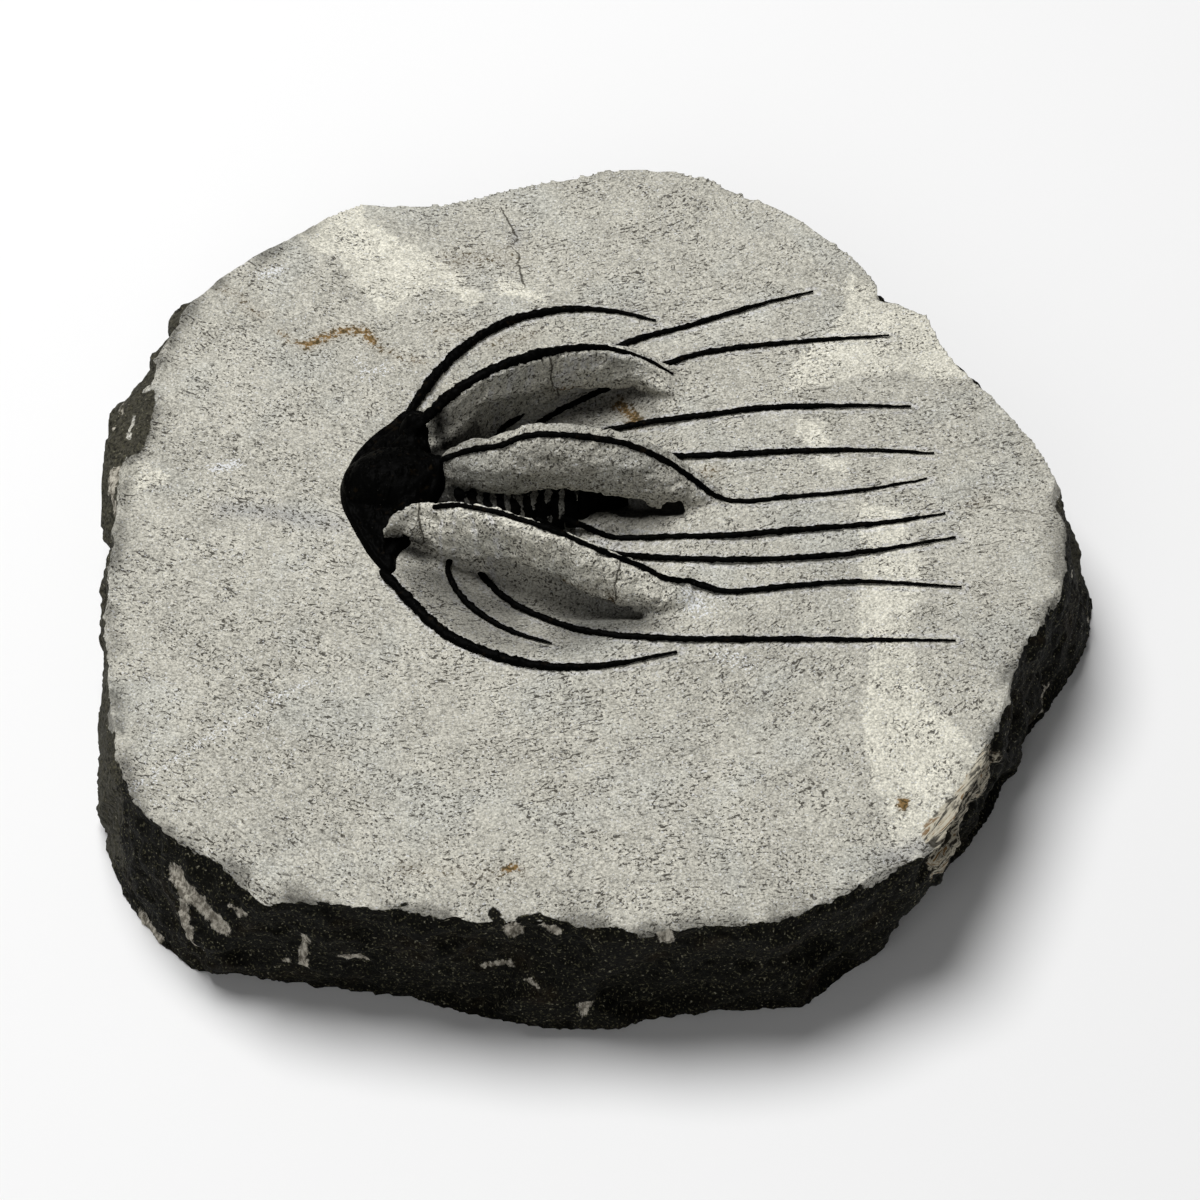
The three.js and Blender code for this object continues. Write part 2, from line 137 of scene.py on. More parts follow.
class FossilStudio(bpy.types.PropertyGroup):
    camera_distance: FloatProperty(
        name="Camera distance", description="From the camera to its target", default=0.42, unit="LENGTH")
    camera_elevation: FloatProperty(
        name="Camera elevation", description="Above the horizon", default=math.radians(50), subtype="ANGLE")
    camera_target: FloatVectorProperty(
        name="Camera target", description="Point that the camera looks at", size=3,
        default=(-0.6 * MM, -5.5 * MM, 11 * MM), unit="LENGTH", precision=5)
    camera_lens: FloatProperty(
        name="Lens", description="Focal length in millimetres", default=118.5, unit="CAMERA")
    floor_colour: FloatVectorProperty(
        name="Floor", description="Pale studio floor", subtype="COLOR", size=4, default=(0.9, 0.9, 0.9, 1))


def settings():
    scene = bpy.context.scene
    return scene.fossil_rock, scene.fossil_shell, scene.fossil_studio


# ------------------------------------------------------------------ frames and curves


def smoothstep(x, low, high):
    """0 at low, 1 at high and smooth between; low may be the greater one."""
    k = np.clip((np.asarray(x, float) - low) / (high - low), 0, 1)
    return k * k * (3 - 2 * k)


def bell(x, middle, width):
    """1 in the middle, falling away smoothly on both sides."""
    return np.exp(-(((x - middle) / width) ** 2))


def to_row(points):
    """Animal frame (s, t, h) to the row frame (x, y, z)."""
    rock, shell, _ = settings()
    p = np.asarray(points, float)
    c, d = math.cos(shell.body_turn), math.sin(shell.body_turn)
    x = shell.head_front[0] + c * p[..., 0] - d * p[..., 1]
    y = shell.head_front[1] + d * p[..., 0] + c * p[..., 1]
    return np.stack([x, y, p[..., 2] + rock.face_height], -1)


def to_animal(points):
    """Row frame (x, y, z) to the animal frame (s, t, h)."""
    rock, shell, _ = settings()
    p = np.asarray(points, float)
    c, d = math.cos(shell.body_turn), math.sin(shell.body_turn)
    x = p[..., 0] - shell.head_front[0]
    y = p[..., 1] - shell.head_front[1]
    return np.stack([c * x + d * y, c * y - d * x, p[..., 2] - rock.face_height], -1)


def resample(points, step=None, count=None, closed=False):
    """Points every step, or count pieces, along a smooth curve through the given ones."""
    p = np.asarray(points, float)
    if closed:
        p = np.concatenate([p[-1:], p, p[:2]])
    else:
        p = np.concatenate([2 * p[:1] - p[1:2], p, 2 * p[-1:] - p[-2:-1]])
    dense = []
    for a, b, c, d in zip(p[:-3], p[1:-2], p[2:-1], p[3:]):
        k = np.linspace(0, 1, 16, endpoint=False)[:, None]
        dense.append(0.5 * (2 * b + (c - a) * k + (2 * a - 5 * b + 4 * c - d) * k**2
                            + (3 * b - a - 3 * c + d) * k**3))
    dense.append(p[-2:-1])
    line = np.concatenate(dense)
    along = np.concatenate([[0], np.cumsum(np.linalg.norm(np.diff(line, axis=0), axis=1))])
    count = count or max(int(round(along[-1] / step)), 4)
    at = np.linspace(0, along[-1], count + 1)[: count if closed else None]
    return np.stack([np.interp(at, along, line[:, i]) for i in range(line.shape[1])], 1)


def node_points(name):
    """The corners of a CAD node."""
    return np.unique(np.round(read_points(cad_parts[name].data), 7), axis=0)


# Where a raised spine runs a little off the CAD spine's middle, in millimetres: s, the reach along s,
# and the change of t and h.
SHIFTS = {
    "palpebral_spine_right": [(17, 10, -0.35, -0.24)],
    "palpebral_spine_left": [(34.9, 1.8, -1.0, 0)],
    "occipital_spine": [(17.5, 2.4, -0.35, -0.35), (27, 7, -0.2, -0.2)],
}


def shifted(name, middles):
    at = to_animal(middles)
    for s, reach, change_t, change_h in SHIFTS.get(name, ()):
        share = bell(at[:, 0] / MM, s, reach)[:, None]
        at = at + share * np.array((0, change_t, change_h)) * MM
    return to_row(at)


def spine_route(name):
    """The middles and radii of a CAD spine's rings, from its root to its tip."""
    points = node_points(name)
    reach = 0.95 * MM  # rings are further apart than this, and their corners closer
    left = set(range(len(points)))
    rings = []
    while left:
        ring = {left.pop()}
        edge = set(ring)
        while edge:
            near = {j for i in edge for j in left if np.linalg.norm(points[i] - points[j]) < reach}
            left -= near
            ring |= near
            edge = near
        corners = points[sorted(ring)]
        is_tip = len(corners) < 3
        middle = corners.mean(0) if is_tip else (corners.min(0) + corners.max(0)) / 2
        rings.append((middle, np.linalg.norm(corners - middle, axis=1).max()))
    rings.sort(key=lambda ring: ring[1])
    chain = [rings.pop(0)]
    while rings:
        rings.sort(key=lambda ring: np.linalg.norm(ring[0] - chain[-1][0]))
        chain.append(rings.pop(0))
    middles, radii = zip(*reversed(chain))
    return shifted(name, np.array(middles)), np.array(radii)


def fractal(points, size, octaves=3, offset=0.0):
    """Fractal noise around 0 at each point; size is its wavelength."""
    return np.array([noise.fractal(Vector(p), 1.0, 2.0, octaves) for p in points / size + offset])


def facets(u, v, size, seed, reach, girth, slope=0.22, soft=0.06):
    """Flat uneven patches over a band of the given girth: an offset at each (u, v), about 0."""
    random = np.random.default_rng(seed)
    count = int(girth * reach / size**2)
    centres = random.uniform((0, -0.1 * reach), (girth, 1.1 * reach), (count, 2))
    level = random.uniform(-0.09, 0.09, count) * size
    tilt = random.uniform(-slope, slope, (count, 2))
    du = u[:, None] - centres[:, 0]
    du = (du + girth / 2) % girth - girth / 2
    dv = v[:, None] - centres[:, 1]
    away = np.hypot(du, dv)
    weight = np.exp(-(away - away.min(1, keepdims=True)) / (soft * size))
    patch = level + du * tilt[:, 0] + dv * tilt[:, 1]
    return (weight * patch).sum(1) / weight.sum(1)


def line_distance(points, line):
    """Distance from each point to a line of straight pieces."""
    best = np.full(len(points), np.inf)
    for a, b in zip(line[:-1], line[1:]):
        along = b - a
        share = np.clip((points - a) @ along / max(along @ along, 1e-18), 0, 1)
        best = np.minimum(best, np.linalg.norm(points - a - share[:, None] * along, axis=1))
    return best


def inside_distance(points, outline):
    """Distance from each flat point to a closed outline, positive inside it."""
    closed = np.concatenate([outline, outline[:1]])
    inside = np.zeros(len(points), bool)
    for (ax, ay), (bx, by) in zip(closed[:-1], closed[1:]):
        spans = (ay > points[:, 1]) != (by > points[:, 1])
        if by != ay:
            inside ^= spans & (points[:, 0] < ax + (points[:, 1] - ay) * (bx - ax) / (by - ay))
    return np.where(inside, 1, -1) * line_distance(points, closed)


# ------------------------------------------------------------------ mesh helpers


def loft(rings):
    """Closed mesh arrays from rings of points, all of one length, with a fan over each end."""
    rings = np.asarray(rings, float)
    rows, count = rings.shape[:2]
    points = rings.reshape(-1, 3)
    grid = np.arange(rows * count).reshape(rows, count)
    after = np.roll(grid, -1, axis=1)
    quads = np.stack([grid[:-1], after[:-1], after[1:], grid[1:]], -1).reshape(-1, 4)
    hubs = np.stack([rings[0].mean(0), rings[-1].mean(0)])
    faces = quads.tolist()
    faces += [[b, a, rows * count] for a, b in zip(grid[0].tolist(), after[0].tolist())]
    faces += [[a, b, rows * count + 1] for a, b in zip(grid[-1].tolist(), after[-1].tolist())]
    return np.concatenate([points, hubs]), faces


def join(shapes):
    points, faces, start = [], [], 0
    for shape_points, shape_faces in shapes:
        points.append(shape_points)
        faces += [[i + start for i in face] for face in shape_faces]
        start += len(shape_points)
    return np.concatenate(points), faces


def make_object(name, points, faces):
    mesh = bpy.data.meshes.new(name)
    mesh.from_pydata(points.tolist(), [], faces)
    mesh.update()
    piece = bpy.data.objects.new(name, mesh)
    bpy.context.scene.collection.objects.link(piece)
    return piece


def face_out(piece):
    """Turns every face of a closed piece outwards."""
    work = bmesh.new()
    work.from_mesh(piece.data)
    bmesh.ops.recalc_face_normals(work, faces=work.faces)
    work.to_mesh(piece.data)
    work.free()


def apply_modifier(piece, kind, **values):
    modifier = piece.modifiers.new(kind.title(), kind)
    for key, value in values.items():
        setattr(modifier, key, value)
    graph = bpy.context.evaluated_depsgraph_get()
    mesh = bpy.data.meshes.new_from_object(piece.evaluated_get(graph))
    piece.modifiers.clear()
    old = piece.data
    piece.data = mesh
    bpy.data.meshes.remove(old)
    mesh.name = piece.name


def read_points(mesh):
    flat = np.zeros(len(mesh.vertices) * 3)
    mesh.vertices.foreach_get("co", flat)
    return flat.reshape(-1, 3)


def read_normals(mesh):
    flat = np.zeros(len(mesh.vertices) * 3, np.float32)
    mesh.vertex_normals.foreach_get("vector", flat)
    return flat.reshape(-1, 3).astype(float)


def write_points(mesh, points):
    mesh.vertices.foreach_set("co", points.ravel())
    mesh.update()


def inside_box(points):
    return np.clip(points, BOX_LOW + EDGE, BOX_HIGH - EDGE)


def finish_piece(piece, material, slot, *nodes):
    """Gives a piece its material, its body and the CAD nodes it stands for."""
    piece.data.materials.clear()
    piece.data.materials.append(material)
    piece.data.shade_smooth()
    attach(piece, "root")
    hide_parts(*nodes)


# ------------------------------------------------------------------ the rock's shape


def hollow_radius(s, t):
    """0 in the middle of the hollow and 1 at its edge."""
    rock, _, _ = settings()
    return np.hypot((s - rock.hollow_centre) / (rock.hollow_length / 2), t / (rock.hollow_width / 2))


def worked_floor(s, t):
    """Height of the worked floor, 0 on the face and negative in the hollow.

    The hollow has a tongue of rock left beside the tail and deeper cuts under the fins' lips.
    """
    rock, _, _ = settings()
    flat_part = 0.45
    hollow = -rock.hollow_depth * (1 - smoothstep(hollow_radius(s, t), flat_part, 1))
    tongue = np.exp(-(((s - 29.0 * MM) / (5.5 * MM)) ** 2) - ((t + 4.0 * MM) / (2.1 * MM)) ** 2)
    left_lip = np.interp(s, [20 * MM, 26 * MM, 31.5 * MM], [-14.6 * MM, -16.5 * MM, -17.7 * MM])
    left_cut = smoothstep(s, 18 * MM, 25 * MM) * smoothstep(s, 32.0 * MM, 31.6 * MM)
    left_cut = left_cut * bell(t, left_lip, 1.25 * MM)
    right_cut = np.exp(-(((s - 29.8 * MM) / (3.4 * MM)) ** 2) - ((t - 13.2 * MM) / (1.5 * MM)) ** 2)
    middle = np.interp(s, [26 * MM, 32 * MM, 34.5 * MM, 36.5 * MM], [0, -0.5 * MM, -1.9 * MM, -2.4 * MM])
    middle_cut = smoothstep(s, 26 * MM, 29 * MM) * smoothstep(s, 36.8 * MM, 36.3 * MM)
    middle_cut = middle_cut * np.exp(-(((t - middle) / (1.5 * MM)) ** 4))
    return hollow + MM * (1.0 * tongue - 1.3 * left_cut - 0.9 * right_cut - 0.9 * middle_cut)


def fin_side(spine, s, t):
    """How far each point lies across from a raised spine's ridge, in millimetres."""
    route = to_animal(spine_route(spine)[0])
    route = route[np.argsort(route[:, 0])]
    return (t - np.interp(s, route[:, 0], route[:, 1])) / MM


def columns_at(table, s):
    """The columns of a table at s; its first column is s. All in millimetres."""
    rows = np.array(table)
    return [np.interp(s, rows[:, 0], rows[:, i]) for i in range(1, rows.shape[1])]


def under_outer_lip(s, away, h, table, shares):
    """How far each point lies beneath the outer lip of a side fin, weighted by shares along s."""
    lip, lip_h = columns_at(table, s)[:2]
    reach = np.where(away > 0, np.exp(-np.maximum(away - lip - 0.2, 0) / 1.0), 0)
    return np.interp(s, *zip(*shares)) * (reach * smoothstep(lip_h - h, 0.3, 0.8))


def under_inner_lip(s, away, h, table, shares):
    """How far each point lies beneath the inner lip of a side fin, weighted by shares along s."""
    _, _, _, inner, inner_h = columns_at(table, s)[:5]
    reach = np.where(away < 0, np.exp(-np.maximum(inner - away - 0.8, 0) / 2.2), 0)
    return np.interp(s, *zip(*shares)) * reach * smoothstep(inner_h - h, 0.2, 0.7)


def under_middle_fin(s, t, h):
    """How far each point lies beneath the middle fin, behind the body."""
    away = fin_side("occipital_spine", s, t)
    lip = np.interp(s / MM, [24, 27, 29, 29.8, 32.2, 33.5, 34.3, 36.6, 36.8],
                    [-1.6, -1.5, -1.6, -2.5, -2.3, -1.9, -2.2, -2.2, 3])
    covered = smoothstep(away, 2.4, 2.0)
    under = smoothstep(away - lip, -0.6, 0.1) * covered * smoothstep(fin_hang(s) - h / MM, 0.1, 0.4)
    soft = 0.55 * smoothstep(away - lip, -4.2, -0.8) * covered * smoothstep(h, -0.9 * MM, -1.5 * MM)
    soft = soft * smoothstep(s, 37 * MM, 34 * MM)
    return np.maximum(1.25 * under, soft) * (s > 24 * MM)


def painted_recess_shade(s, t, h):
    """Painted shade: how far each point lies in the recesses beneath the fins' lips and at the shaded places,
    for the rock's colour to darken.
    """
    left = -fin_side("palpebral_spine_left", s, t)
    right = fin_side("palpebral_spine_right", s, t)
    left_shares = (5, 0), (8, 0.12), (18, 0), (24, 0.05), (31.6, 0.35), (32, 0)
    right_shares = (9, 0), (14, 0.2), (36, 0.2), (37, 0)
    inner_shares = (9, 0), (12, 0.3), (20, 0.3), (24, 0.45), (29, 0.6), (34.3, 0.6), (34.8, 0)
    dark = painted(to_row(np.column_stack([s, t, h])), SHADE_AND_CRUMB_PLACES)
    near_faces = right < 0.2
    return np.maximum.reduce([
        under_outer_lip(s / MM, left, h / MM, LEFT_FIN, left_shares),
        under_outer_lip(s / MM, right, h / MM, RIGHT_FIN, right_shares),
        under_inner_lip(s / MM, right, h / MM, RIGHT_FIN, inner_shares),
        under_middle_fin(s, t, h),
        dark * ((h < 1.2 * MM) | (t > 0)) * near_faces,
    ])


def painted_hollow_shade(s, t, h):
    """Painted shade of the left fin: how far each point lies in the darker near half of the hollow."""
    dull_and_shade = (1 - smoothstep(hollow_radius(s, t), 0.88, 1.03)) * smoothstep(t, -9 * MM, -13 * MM)
    dull_and_shade = dull_and_shade * smoothstep(s, 34 * MM, 31.5 * MM) * smoothstep(h, 0.6 * MM, -0.1 * MM)
    return dull_and_shade * np.interp(s / MM, [13, 16, 20, 24], [1.5, 1.3, 0.6, 0.9])


def side_profile():
    """The CAD slab's side as reach[level, column], with its levels and angles."""
    points = node_points("matrix_slab")
    columns = 84
    angles = (np.arange(columns) / columns) * 2 * math.pi
    reach = np.linalg.norm(points[:, :2], axis=1)
    turn = np.round(np.arctan2(points[:, 1], points[:, 0]) / (2 * math.pi) * columns, 3) % columns
    on_side = (np.abs(turn - np.round(turn)) < 0.02) & (reach > 38 * MM)
    heights = np.round(points[:, 2], 5)
    levels = [z for z in np.unique(heights) if (on_side & (heights == z)).sum() >= columns // 2]
    table = []
    for z in levels:
        mine = on_side & (heights == z)
        row = np.zeros(columns)
        np.maximum.at(row, np.round(turn[mine]).astype(int) % columns, reach[mine])
        known = row > 0
        table.append(np.interp(angles, angles[known], row[known], period=2 * math.pi))
    return np.array(levels), angles, np.array(table)


def back_share(turn):
    """1 round the back of the slab, where the pale face runs over the rim, and 0 elsewhere."""
    degrees = np.degrees(turn) % 360
    return smoothstep(degrees, 2, 8) * (1 - smoothstep(degrees, 122, 130))


def broken_side(turn, reach, z):
    """One level of the block's side: the CAD slab's reach there, broken and chipped."""
    rock, _, _ = settings()
    girth = 330 * MM
    place = turn / (2 * math.pi) * girth
    level = np.full(len(turn), z)
    at = np.column_stack([np.cos(turn) * reach, np.sin(turn) * reach, level])
    under = rock.face_height - z
    inner = smoothstep(z, 0, 2 * MM) * smoothstep(under, -0.3 * MM, 2.2 * MM)
    broken = facets(place, level, 8.5 * MM, 4, rock.face_height, girth)
    chipped = facets(place, level, 3.2 * MM, 9, rock.face_height, girth, 0.24)
    rough = 0.24 * MM * fractal(at, 1.9 * MM, 4, 11)
    wobble = (0.3 * fractal(at, 4.5 * MM, 3, 5) + 0.1 * fractal(at, 1.6 * MM, 2, 6)) * MM

    # Larger breaks: a shoulder at the far left, a step at the back right, two cuts at the right end,
    # and calmer stretches at the right end and the near left.
    degrees = np.degrees(turn)
    around = (degrees + 180) % 360 - 180
    shoulder = 1.5 * bell(degrees, 163.5, 6.5) - 1.1 * bell(degrees, 151, 4.5)
    step = 0.7 * bell(degrees, 40.8, 1.8) - 0.9 * bell(degrees, 46.6, 1.4)
    breaks = shoulder * bell(z, 11 * MM, 5 * MM) * MM + step * MM
    low_cut = 2.8 * bell(around, 8, 6.5) * smoothstep(under, 0, 5 * MM)
    high_cut = 1.6 * bell(around, 3.4, 2.6) * (1 - smoothstep(under, 0, 6 * MM))
    breaks = breaks - (low_cut + high_cut) * MM * smoothstep(z, 0, 4 * MM)
    calm = 1 - 0.6 * bell(around, -2, 14) - 0.75 * bell(around, -157, 13)
    tuck = back_share(turn) * (0.7 + 1.0 * bell(degrees, 42, 10)) * MM * smoothstep(under, 0, 1.2 * MM)
    return reach + calm * (inner * (broken + chipped + rough - 0.25 * MM) + wobble) + breaks - tuck


def slab_block(profile):
    """The block, with its broken sides and the hollowed face, before the fins are joined to it."""
    rock, _, _ = settings()
    levels, angles, table = profile
    columns, side_rows, face_rings = 720, 46, 96
    turn = np.arange(columns) / columns * 2 * math.pi
    ways = np.stack([np.cos(turn), np.sin(turn)], 1)
    by_level = np.array([np.interp(turn, angles, row, period=2 * math.pi) for row in table])
    rows = []
    for z in np.linspace(0, rock.face_height, side_rows):
        reach = np.array([np.interp(z, levels, by_level[:, i]) for i in range(columns)])
        rows.append(np.column_stack([ways * broken_side(turn, reach, z)[:, None], np.full(columns, z)]))
    rim = np.linalg.norm(rows[-1][:, :2], axis=1)
    crumbled = (0.25 + 0.5 * np.clip(fractal(rows[-1], 2.6 * MM, 3, 21), 0, 1)) * MM
    for share in 1 - np.linspace(0, 1, face_rings)[1:-1]:
        at = np.column_stack([ways * (rim * share)[:, None], np.zeros(columns)])
        s, t, _ = to_animal(at).T
        edge_drop = crumbled * np.exp(-(rim * (1 - share)) / (0.55 * MM))
        sway = 0.18 * MM * fractal(at, 14 * MM, 2, 31) - 0.12 * MM
        at[:, 2] = rock.face_height + worked_floor(s, t) + sway - edge_drop
        rows.append(at)
    return loft(rows)


FIN_STEP = 0.33 * MM
FIN_ROOT = -4.5  # how deep a fin's body reaches into the block, in millimetres


def swept(route, section, side=1):
    """A fin's body: closed sections, as (outward, height), across a ridge line in the animal frame."""
    corners = 110
    rings = []
    for s, t, h in resample(route, FIN_STEP):
        ring = resample(section(s, h), count=corners, closed=True)
        rings.append(to_row(np.column_stack([np.full(len(ring), s), t + side * ring[:, 0], ring[:, 1]])))
    return loft(rings)


def ragged(s, amount, offset):
    """A small uneven change along a fin's edge, in millimetres."""
    return amount * noise.fractal(Vector((s / (1.7 * MM), offset, 0)), 1.0, 2.0, 3)


# The fins, in millimetres. Each row is s, then (outward, height) of the outer lip, the wall under it,
# (outward, height) of the inner lip, and the wall under that one.
LEFT_FIN = [
    (4.6, 0.3, 1.7, 0.1, -0.3, 1.7, 0.0), (5.6, 0.8, 2.1, 0.4, -0.6, 1.8, -0.3),
    (6.5, 1.3, 1.8, 0.7, -0.8, 1.8, -0.6), (7.7, 1.9, 1.1, 1.2, -0.9, 1.6, -0.6),
    (8.3, 2.15, 0.3, 1.5, -1.0, 1.6, -0.6), (8.9, 2.35, -0.3, 1.6, -1.0, 1.6, -0.6),
    (11.1, 2.5, -0.7, 1.6, -1.0, 1.8, -0.6), (13.6, 2.0, -0.3, 1.0, -1.1, 2.4, -0.5),
    (15.6, 1.6, 1.1, 0.7, -1.1, 3.0, -0.4), (18.8, 1.75, 2.2, 0.6, -1.1, 2.7, -0.3),
    (21.9, 1.95, 1.9, 0.6, -1.1, 2.1, -0.3), (23.6, 2.0, 1.3, 0.6, -1.1, 1.9, -0.3),
    (26, 2.2, 0.4, 0.7, -1.2, 0.2, -0.4), (28.1, 2.3, 0.1, 0.8, -1.2, -0.3, -0.4),
    (30.4, 2.9, -0.3, 1.1, -1.2, -0.6, -0.5), (31.5, 3.0, -0.5, 1.4, -1.4, -0.6, -0.7),
    (31.8, 3.0, -0.5, 3.6, -1.5, -0.6, -0.8), (34, 2.7, -0.4, 3.4, -2.2, -0.5, -2.0),
    (37.5, 2.2, -0.4, 3.0, -2.0, -0.5, -2.6),
]
RIGHT_FIN = [
    (9, 2.0, 0.0, 2.2, -1.0, 1.4, -2.6), (12.8, 2.0, 0.4, 2.1, -1.1, 2.3, -1.9),
    (15.3, 1.8, 1.2, 2.1, -1.1, 3.2, -0.9), (18, 1.8, 2.0, 2.2, -1.1, 2.7, 0.3),
    (20, 1.9, 2.0, 2.4, -1.1, 2.3, 0.9), (22.9, 2.0, 1.4, 2.4, -1.1, 2.2, 0.8),
    (23.4, 2.0, 1.3, 2.4, -1.2, 1.5, 0.8), (26.3, 2.1, 0.4, 2.2, -1.3, 0.4, 0.5),
    (31.1, 2.2, -0.2, 2.4, -1.35, -0.7, 0.2), (33.8, 2.2, -0.4, 2.6, -2.0, -0.6, -0.4),
    (34.6, 2.2, -0.4, 2.6, -2.4, -0.5, -2.6), (37.8, 2.0, -0.5, 2.6, -2.4, -0.5, -3.0),
]
# Where the outer fins run on beyond their spines, as s, t and h.
LEFT_NOSE = [(4.7, -8.2, 2.0), (5.4, -7.6, 2.75), (6.5, -7.1, 3.25), (7.8, -6.75, 3.6)]
RIGHT_TAIL = [(36.9, 14.2, 0.25), (37.6, 14.0, -0.1)]

# Each row is s, the height of the middle fin's hanging edge, and its half-thickness.
MIDDLE_FIN = [
    (10.6, 1.9, 0.5), (11.2, 1.55, 1.1), (12.2, 1.5, 1.6), (13.8, 1.4, 2.0), (15.4, 1.2, 2.3),
    (19.1, 0.85, 2.45), (21.3, 1.3, 2.4), (23.4, 1.7, 2.4), (25.5, 1.5, 2.4), (27.5, 0.9, 2.4),
    (28.3, 0.55, 2.45), (29, 0.6, 2.45), (29.7, 0.7, 2.45), (30.6, 0.75, 2.4), (31.3, 0.65, 2.4),
    (32, 0.25, 2.4), (32.4, 0, 2.35), (32.8, -0.5, 2.35), (33.0, -0.85, 2.35), (34.1, -0.8, 2.35),
    (34.3, -0.2, 2.3), (34.7, 0.15, 2.25), (36.3, 0.3, 2.2), (36.6, -0.3, 2.15), (36.75, -1.9, 2.1),
    (36.9, FIN_ROOT, 2.1), (43, FIN_ROOT, 1.3),
]


def fin_hang(s):
    """Height of the middle fin's hanging edge, in millimetres."""
    return np.interp(s / MM, *np.array(MIDDLE_FIN).T[:2])


def side_fin(spine, side, table, nose=(), tail=()):
    """An outer fin: its ridge follows the raised spine, and both its lips overhang recessed walls."""
    route = to_animal(spine_route(spine)[0])
    route = route[route[:, 0] < 37.5 * MM]
    parts = [np.array(nose) * MM, route, np.array(tail) * MM]
    line = np.concatenate([part for part in parts if len(part)])
    is_left = side < 0

    def section(s, ridge):
        out, out_h, wall_out, inner, inner_h, wall_in = columns_at(table, s / MM)
        h = ridge / MM
        cap = 0.45 + 0.55 * smoothstep(s / MM, 4.4, 6.8)
        out = out + ragged(s, 0.22, 7.7)
        inner = inner + ragged(s, 0.2, 3.1)
        out_h = min(out_h + ragged(s, 0.3, 2.3), h - 0.4)
        inner_h = min(inner_h + ragged(s, 0.3, 4.9), h - 0.5)
        rise, inner_rise = h - out_h, h - inner_h
        if is_left:
            cover = 0.62 * (1 - smoothstep(s / MM, 9.2, 10.6)) * cap
            top = [(-0.46 * cap, h + 0.35 * cover), (0.0, h - 0.05 + cover), (0.5 * cap, h - 0.16 + cover)]
        else:
            top = [(-0.75 * cap, h - 0.16), (0.0, h - 0.05), (0.62 * cap, h + 0.14 * cap)]
        return MM * np.array([
            *top,
            (0.95 * cap, h - 0.28),
            (0.95 * cap + 0.6 * (out - 0.95 * cap), h - 0.26 * rise - 0.05),
            (out - 0.08, out_h + 0.42 * rise),
            (out + 0.02, out_h + 0.16 * rise),
            (out - 0.06, out_h + 0.02),
            (out - 0.4, out_h - 0.16),
            (wall_out, out_h - 0.45),
            (wall_out - 0.1, min(-1.5, out_h - 1.3)),
            (wall_out + 0.5, -3.0),
            (wall_out + 0.9, FIN_ROOT),
            (wall_in - 0.5, FIN_ROOT),
            (wall_in - 0.5, -3.2),
            (wall_in, min(-1.8, inner_h - 1.2)),
            (wall_in, inner_h - 0.6),
            (inner + 0.45, inner_h - 0.2),
            (inner, inner_h),
            (inner - 0.12, inner_h + 0.15 * inner_rise),
            (inner + 0.1, inner_h + 0.55 * inner_rise),
            (-0.85 * cap, h - 0.6),
        ])

    return swept(line, section, side)


def middle_fin():
    """The middle fin hangs free over the body and roots in the rock at its tail end."""
    route = to_animal(spine_route("occipital_spine")[0])
    nose = np.array([(10.5, -0.3, 2.7)]) * MM

    def section(s, ridge):
        hang, half = columns_at(MIDDLE_FIN, s / MM)
        h = ridge / MM
        hang = min(hang + ragged(s, 0.1, 6.4), h - 0.5)
        half = half + ragged(s, 0.12, 9.2)
        rise = h - hang
        crown = min(1.0, half / 2)
        return MM * np.array([
            (-0.5 * crown, h - 0.3),
            (0.05, h - 0.08),
            (0.7 * crown, h + 0.05),
            (1.6 * crown, h - 0.1),
            (max(half, 1.7 * crown), h - 0.3 * rise),
            (half, h - 0.62 * rise),
            (0.75 * half, hang + 0.3),
            (0.3 * half, hang + 0.3),
            (-0.5 * half, hang + 0.2),
            (-0.86 * half, hang),
            (-half, hang + 0.2),
            (-half - 0.04, hang + 0.3 * rise),
            (-0.86 * half, hang + 0.62 * rise),
            (-0.55 * half - 0.1, h - 0.16 * rise - 0.15),
        ])

    return swept(np.concatenate([nose, route[route[:, 0] < 43 * MM]]), section)


def body_section(half, lift, count=40):
    """An arched section of the body: a raised middle lobe between two sloping side lobes."""
    share = np.linspace(-1, 1, count)
    a = np.abs(share)
    lobe = 1.05 * np.sqrt(np.clip(1 - (a / 0.42) ** 2, 0, 1))
    side = -0.25 - 2.6 * np.clip((a - 0.42) / 0.58, 0, 1) ** 1.8
    h = np.where(a < 0.42, np.maximum(lobe - 0.25, side), side) * MM + lift
    top = np.column_stack([share * half, h])
    return np.concatenate([top, [(half, FIN_ROOT * MM), (-half, FIN_ROOT * MM)]])


def body_core():
    """The rock that fills the body under its plates and shows in thin lines between them."""
    starts = [to_animal(np.array([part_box(name)[0][0], 0, 0]))[0] for name in SEGMENTS]
    end = to_animal(np.array([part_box(SEGMENTS[-1])[1][0], 0, 0]))[0]
    start, joints = starts[0], starts[1:]
    rings = []
    for k in np.linspace(0, 1, 200):
        s = start - 2.8 * MM + k * (end - start + 3.2 * MM)
        ridge = 0.44 * sum(bell(s, joint, 0.24 * MM) for joint in joints)
        share = np.clip((s - start) / (end - start), 0, 1)
        before = smoothstep(start - s, 0, 0.35 * MM)
        half = (6.15 + share * (4.35 - 6.15) + 1.9 * before) * MM
        section = body_section(half, (0.36 + 0.2 * before + ridge) * MM)
        sway = 0.16 * MM * np.sin(section[:, 0] / (0.8 * MM) + 3 * share)
        rings.append(to_row(np.column_stack([s + sway, section])))
    return loft(rings)


def rim_distance(points, profile):
    """How far each point lies inside the rim of the CAD slab's face."""
    _, angles, table = profile
    turn = np.arctan2(points[:, 1], points[:, 0])
    return np.interp(turn, angles, table[-1], period=2 * math.pi) - np.linalg.norm(points[:, :2], axis=1)


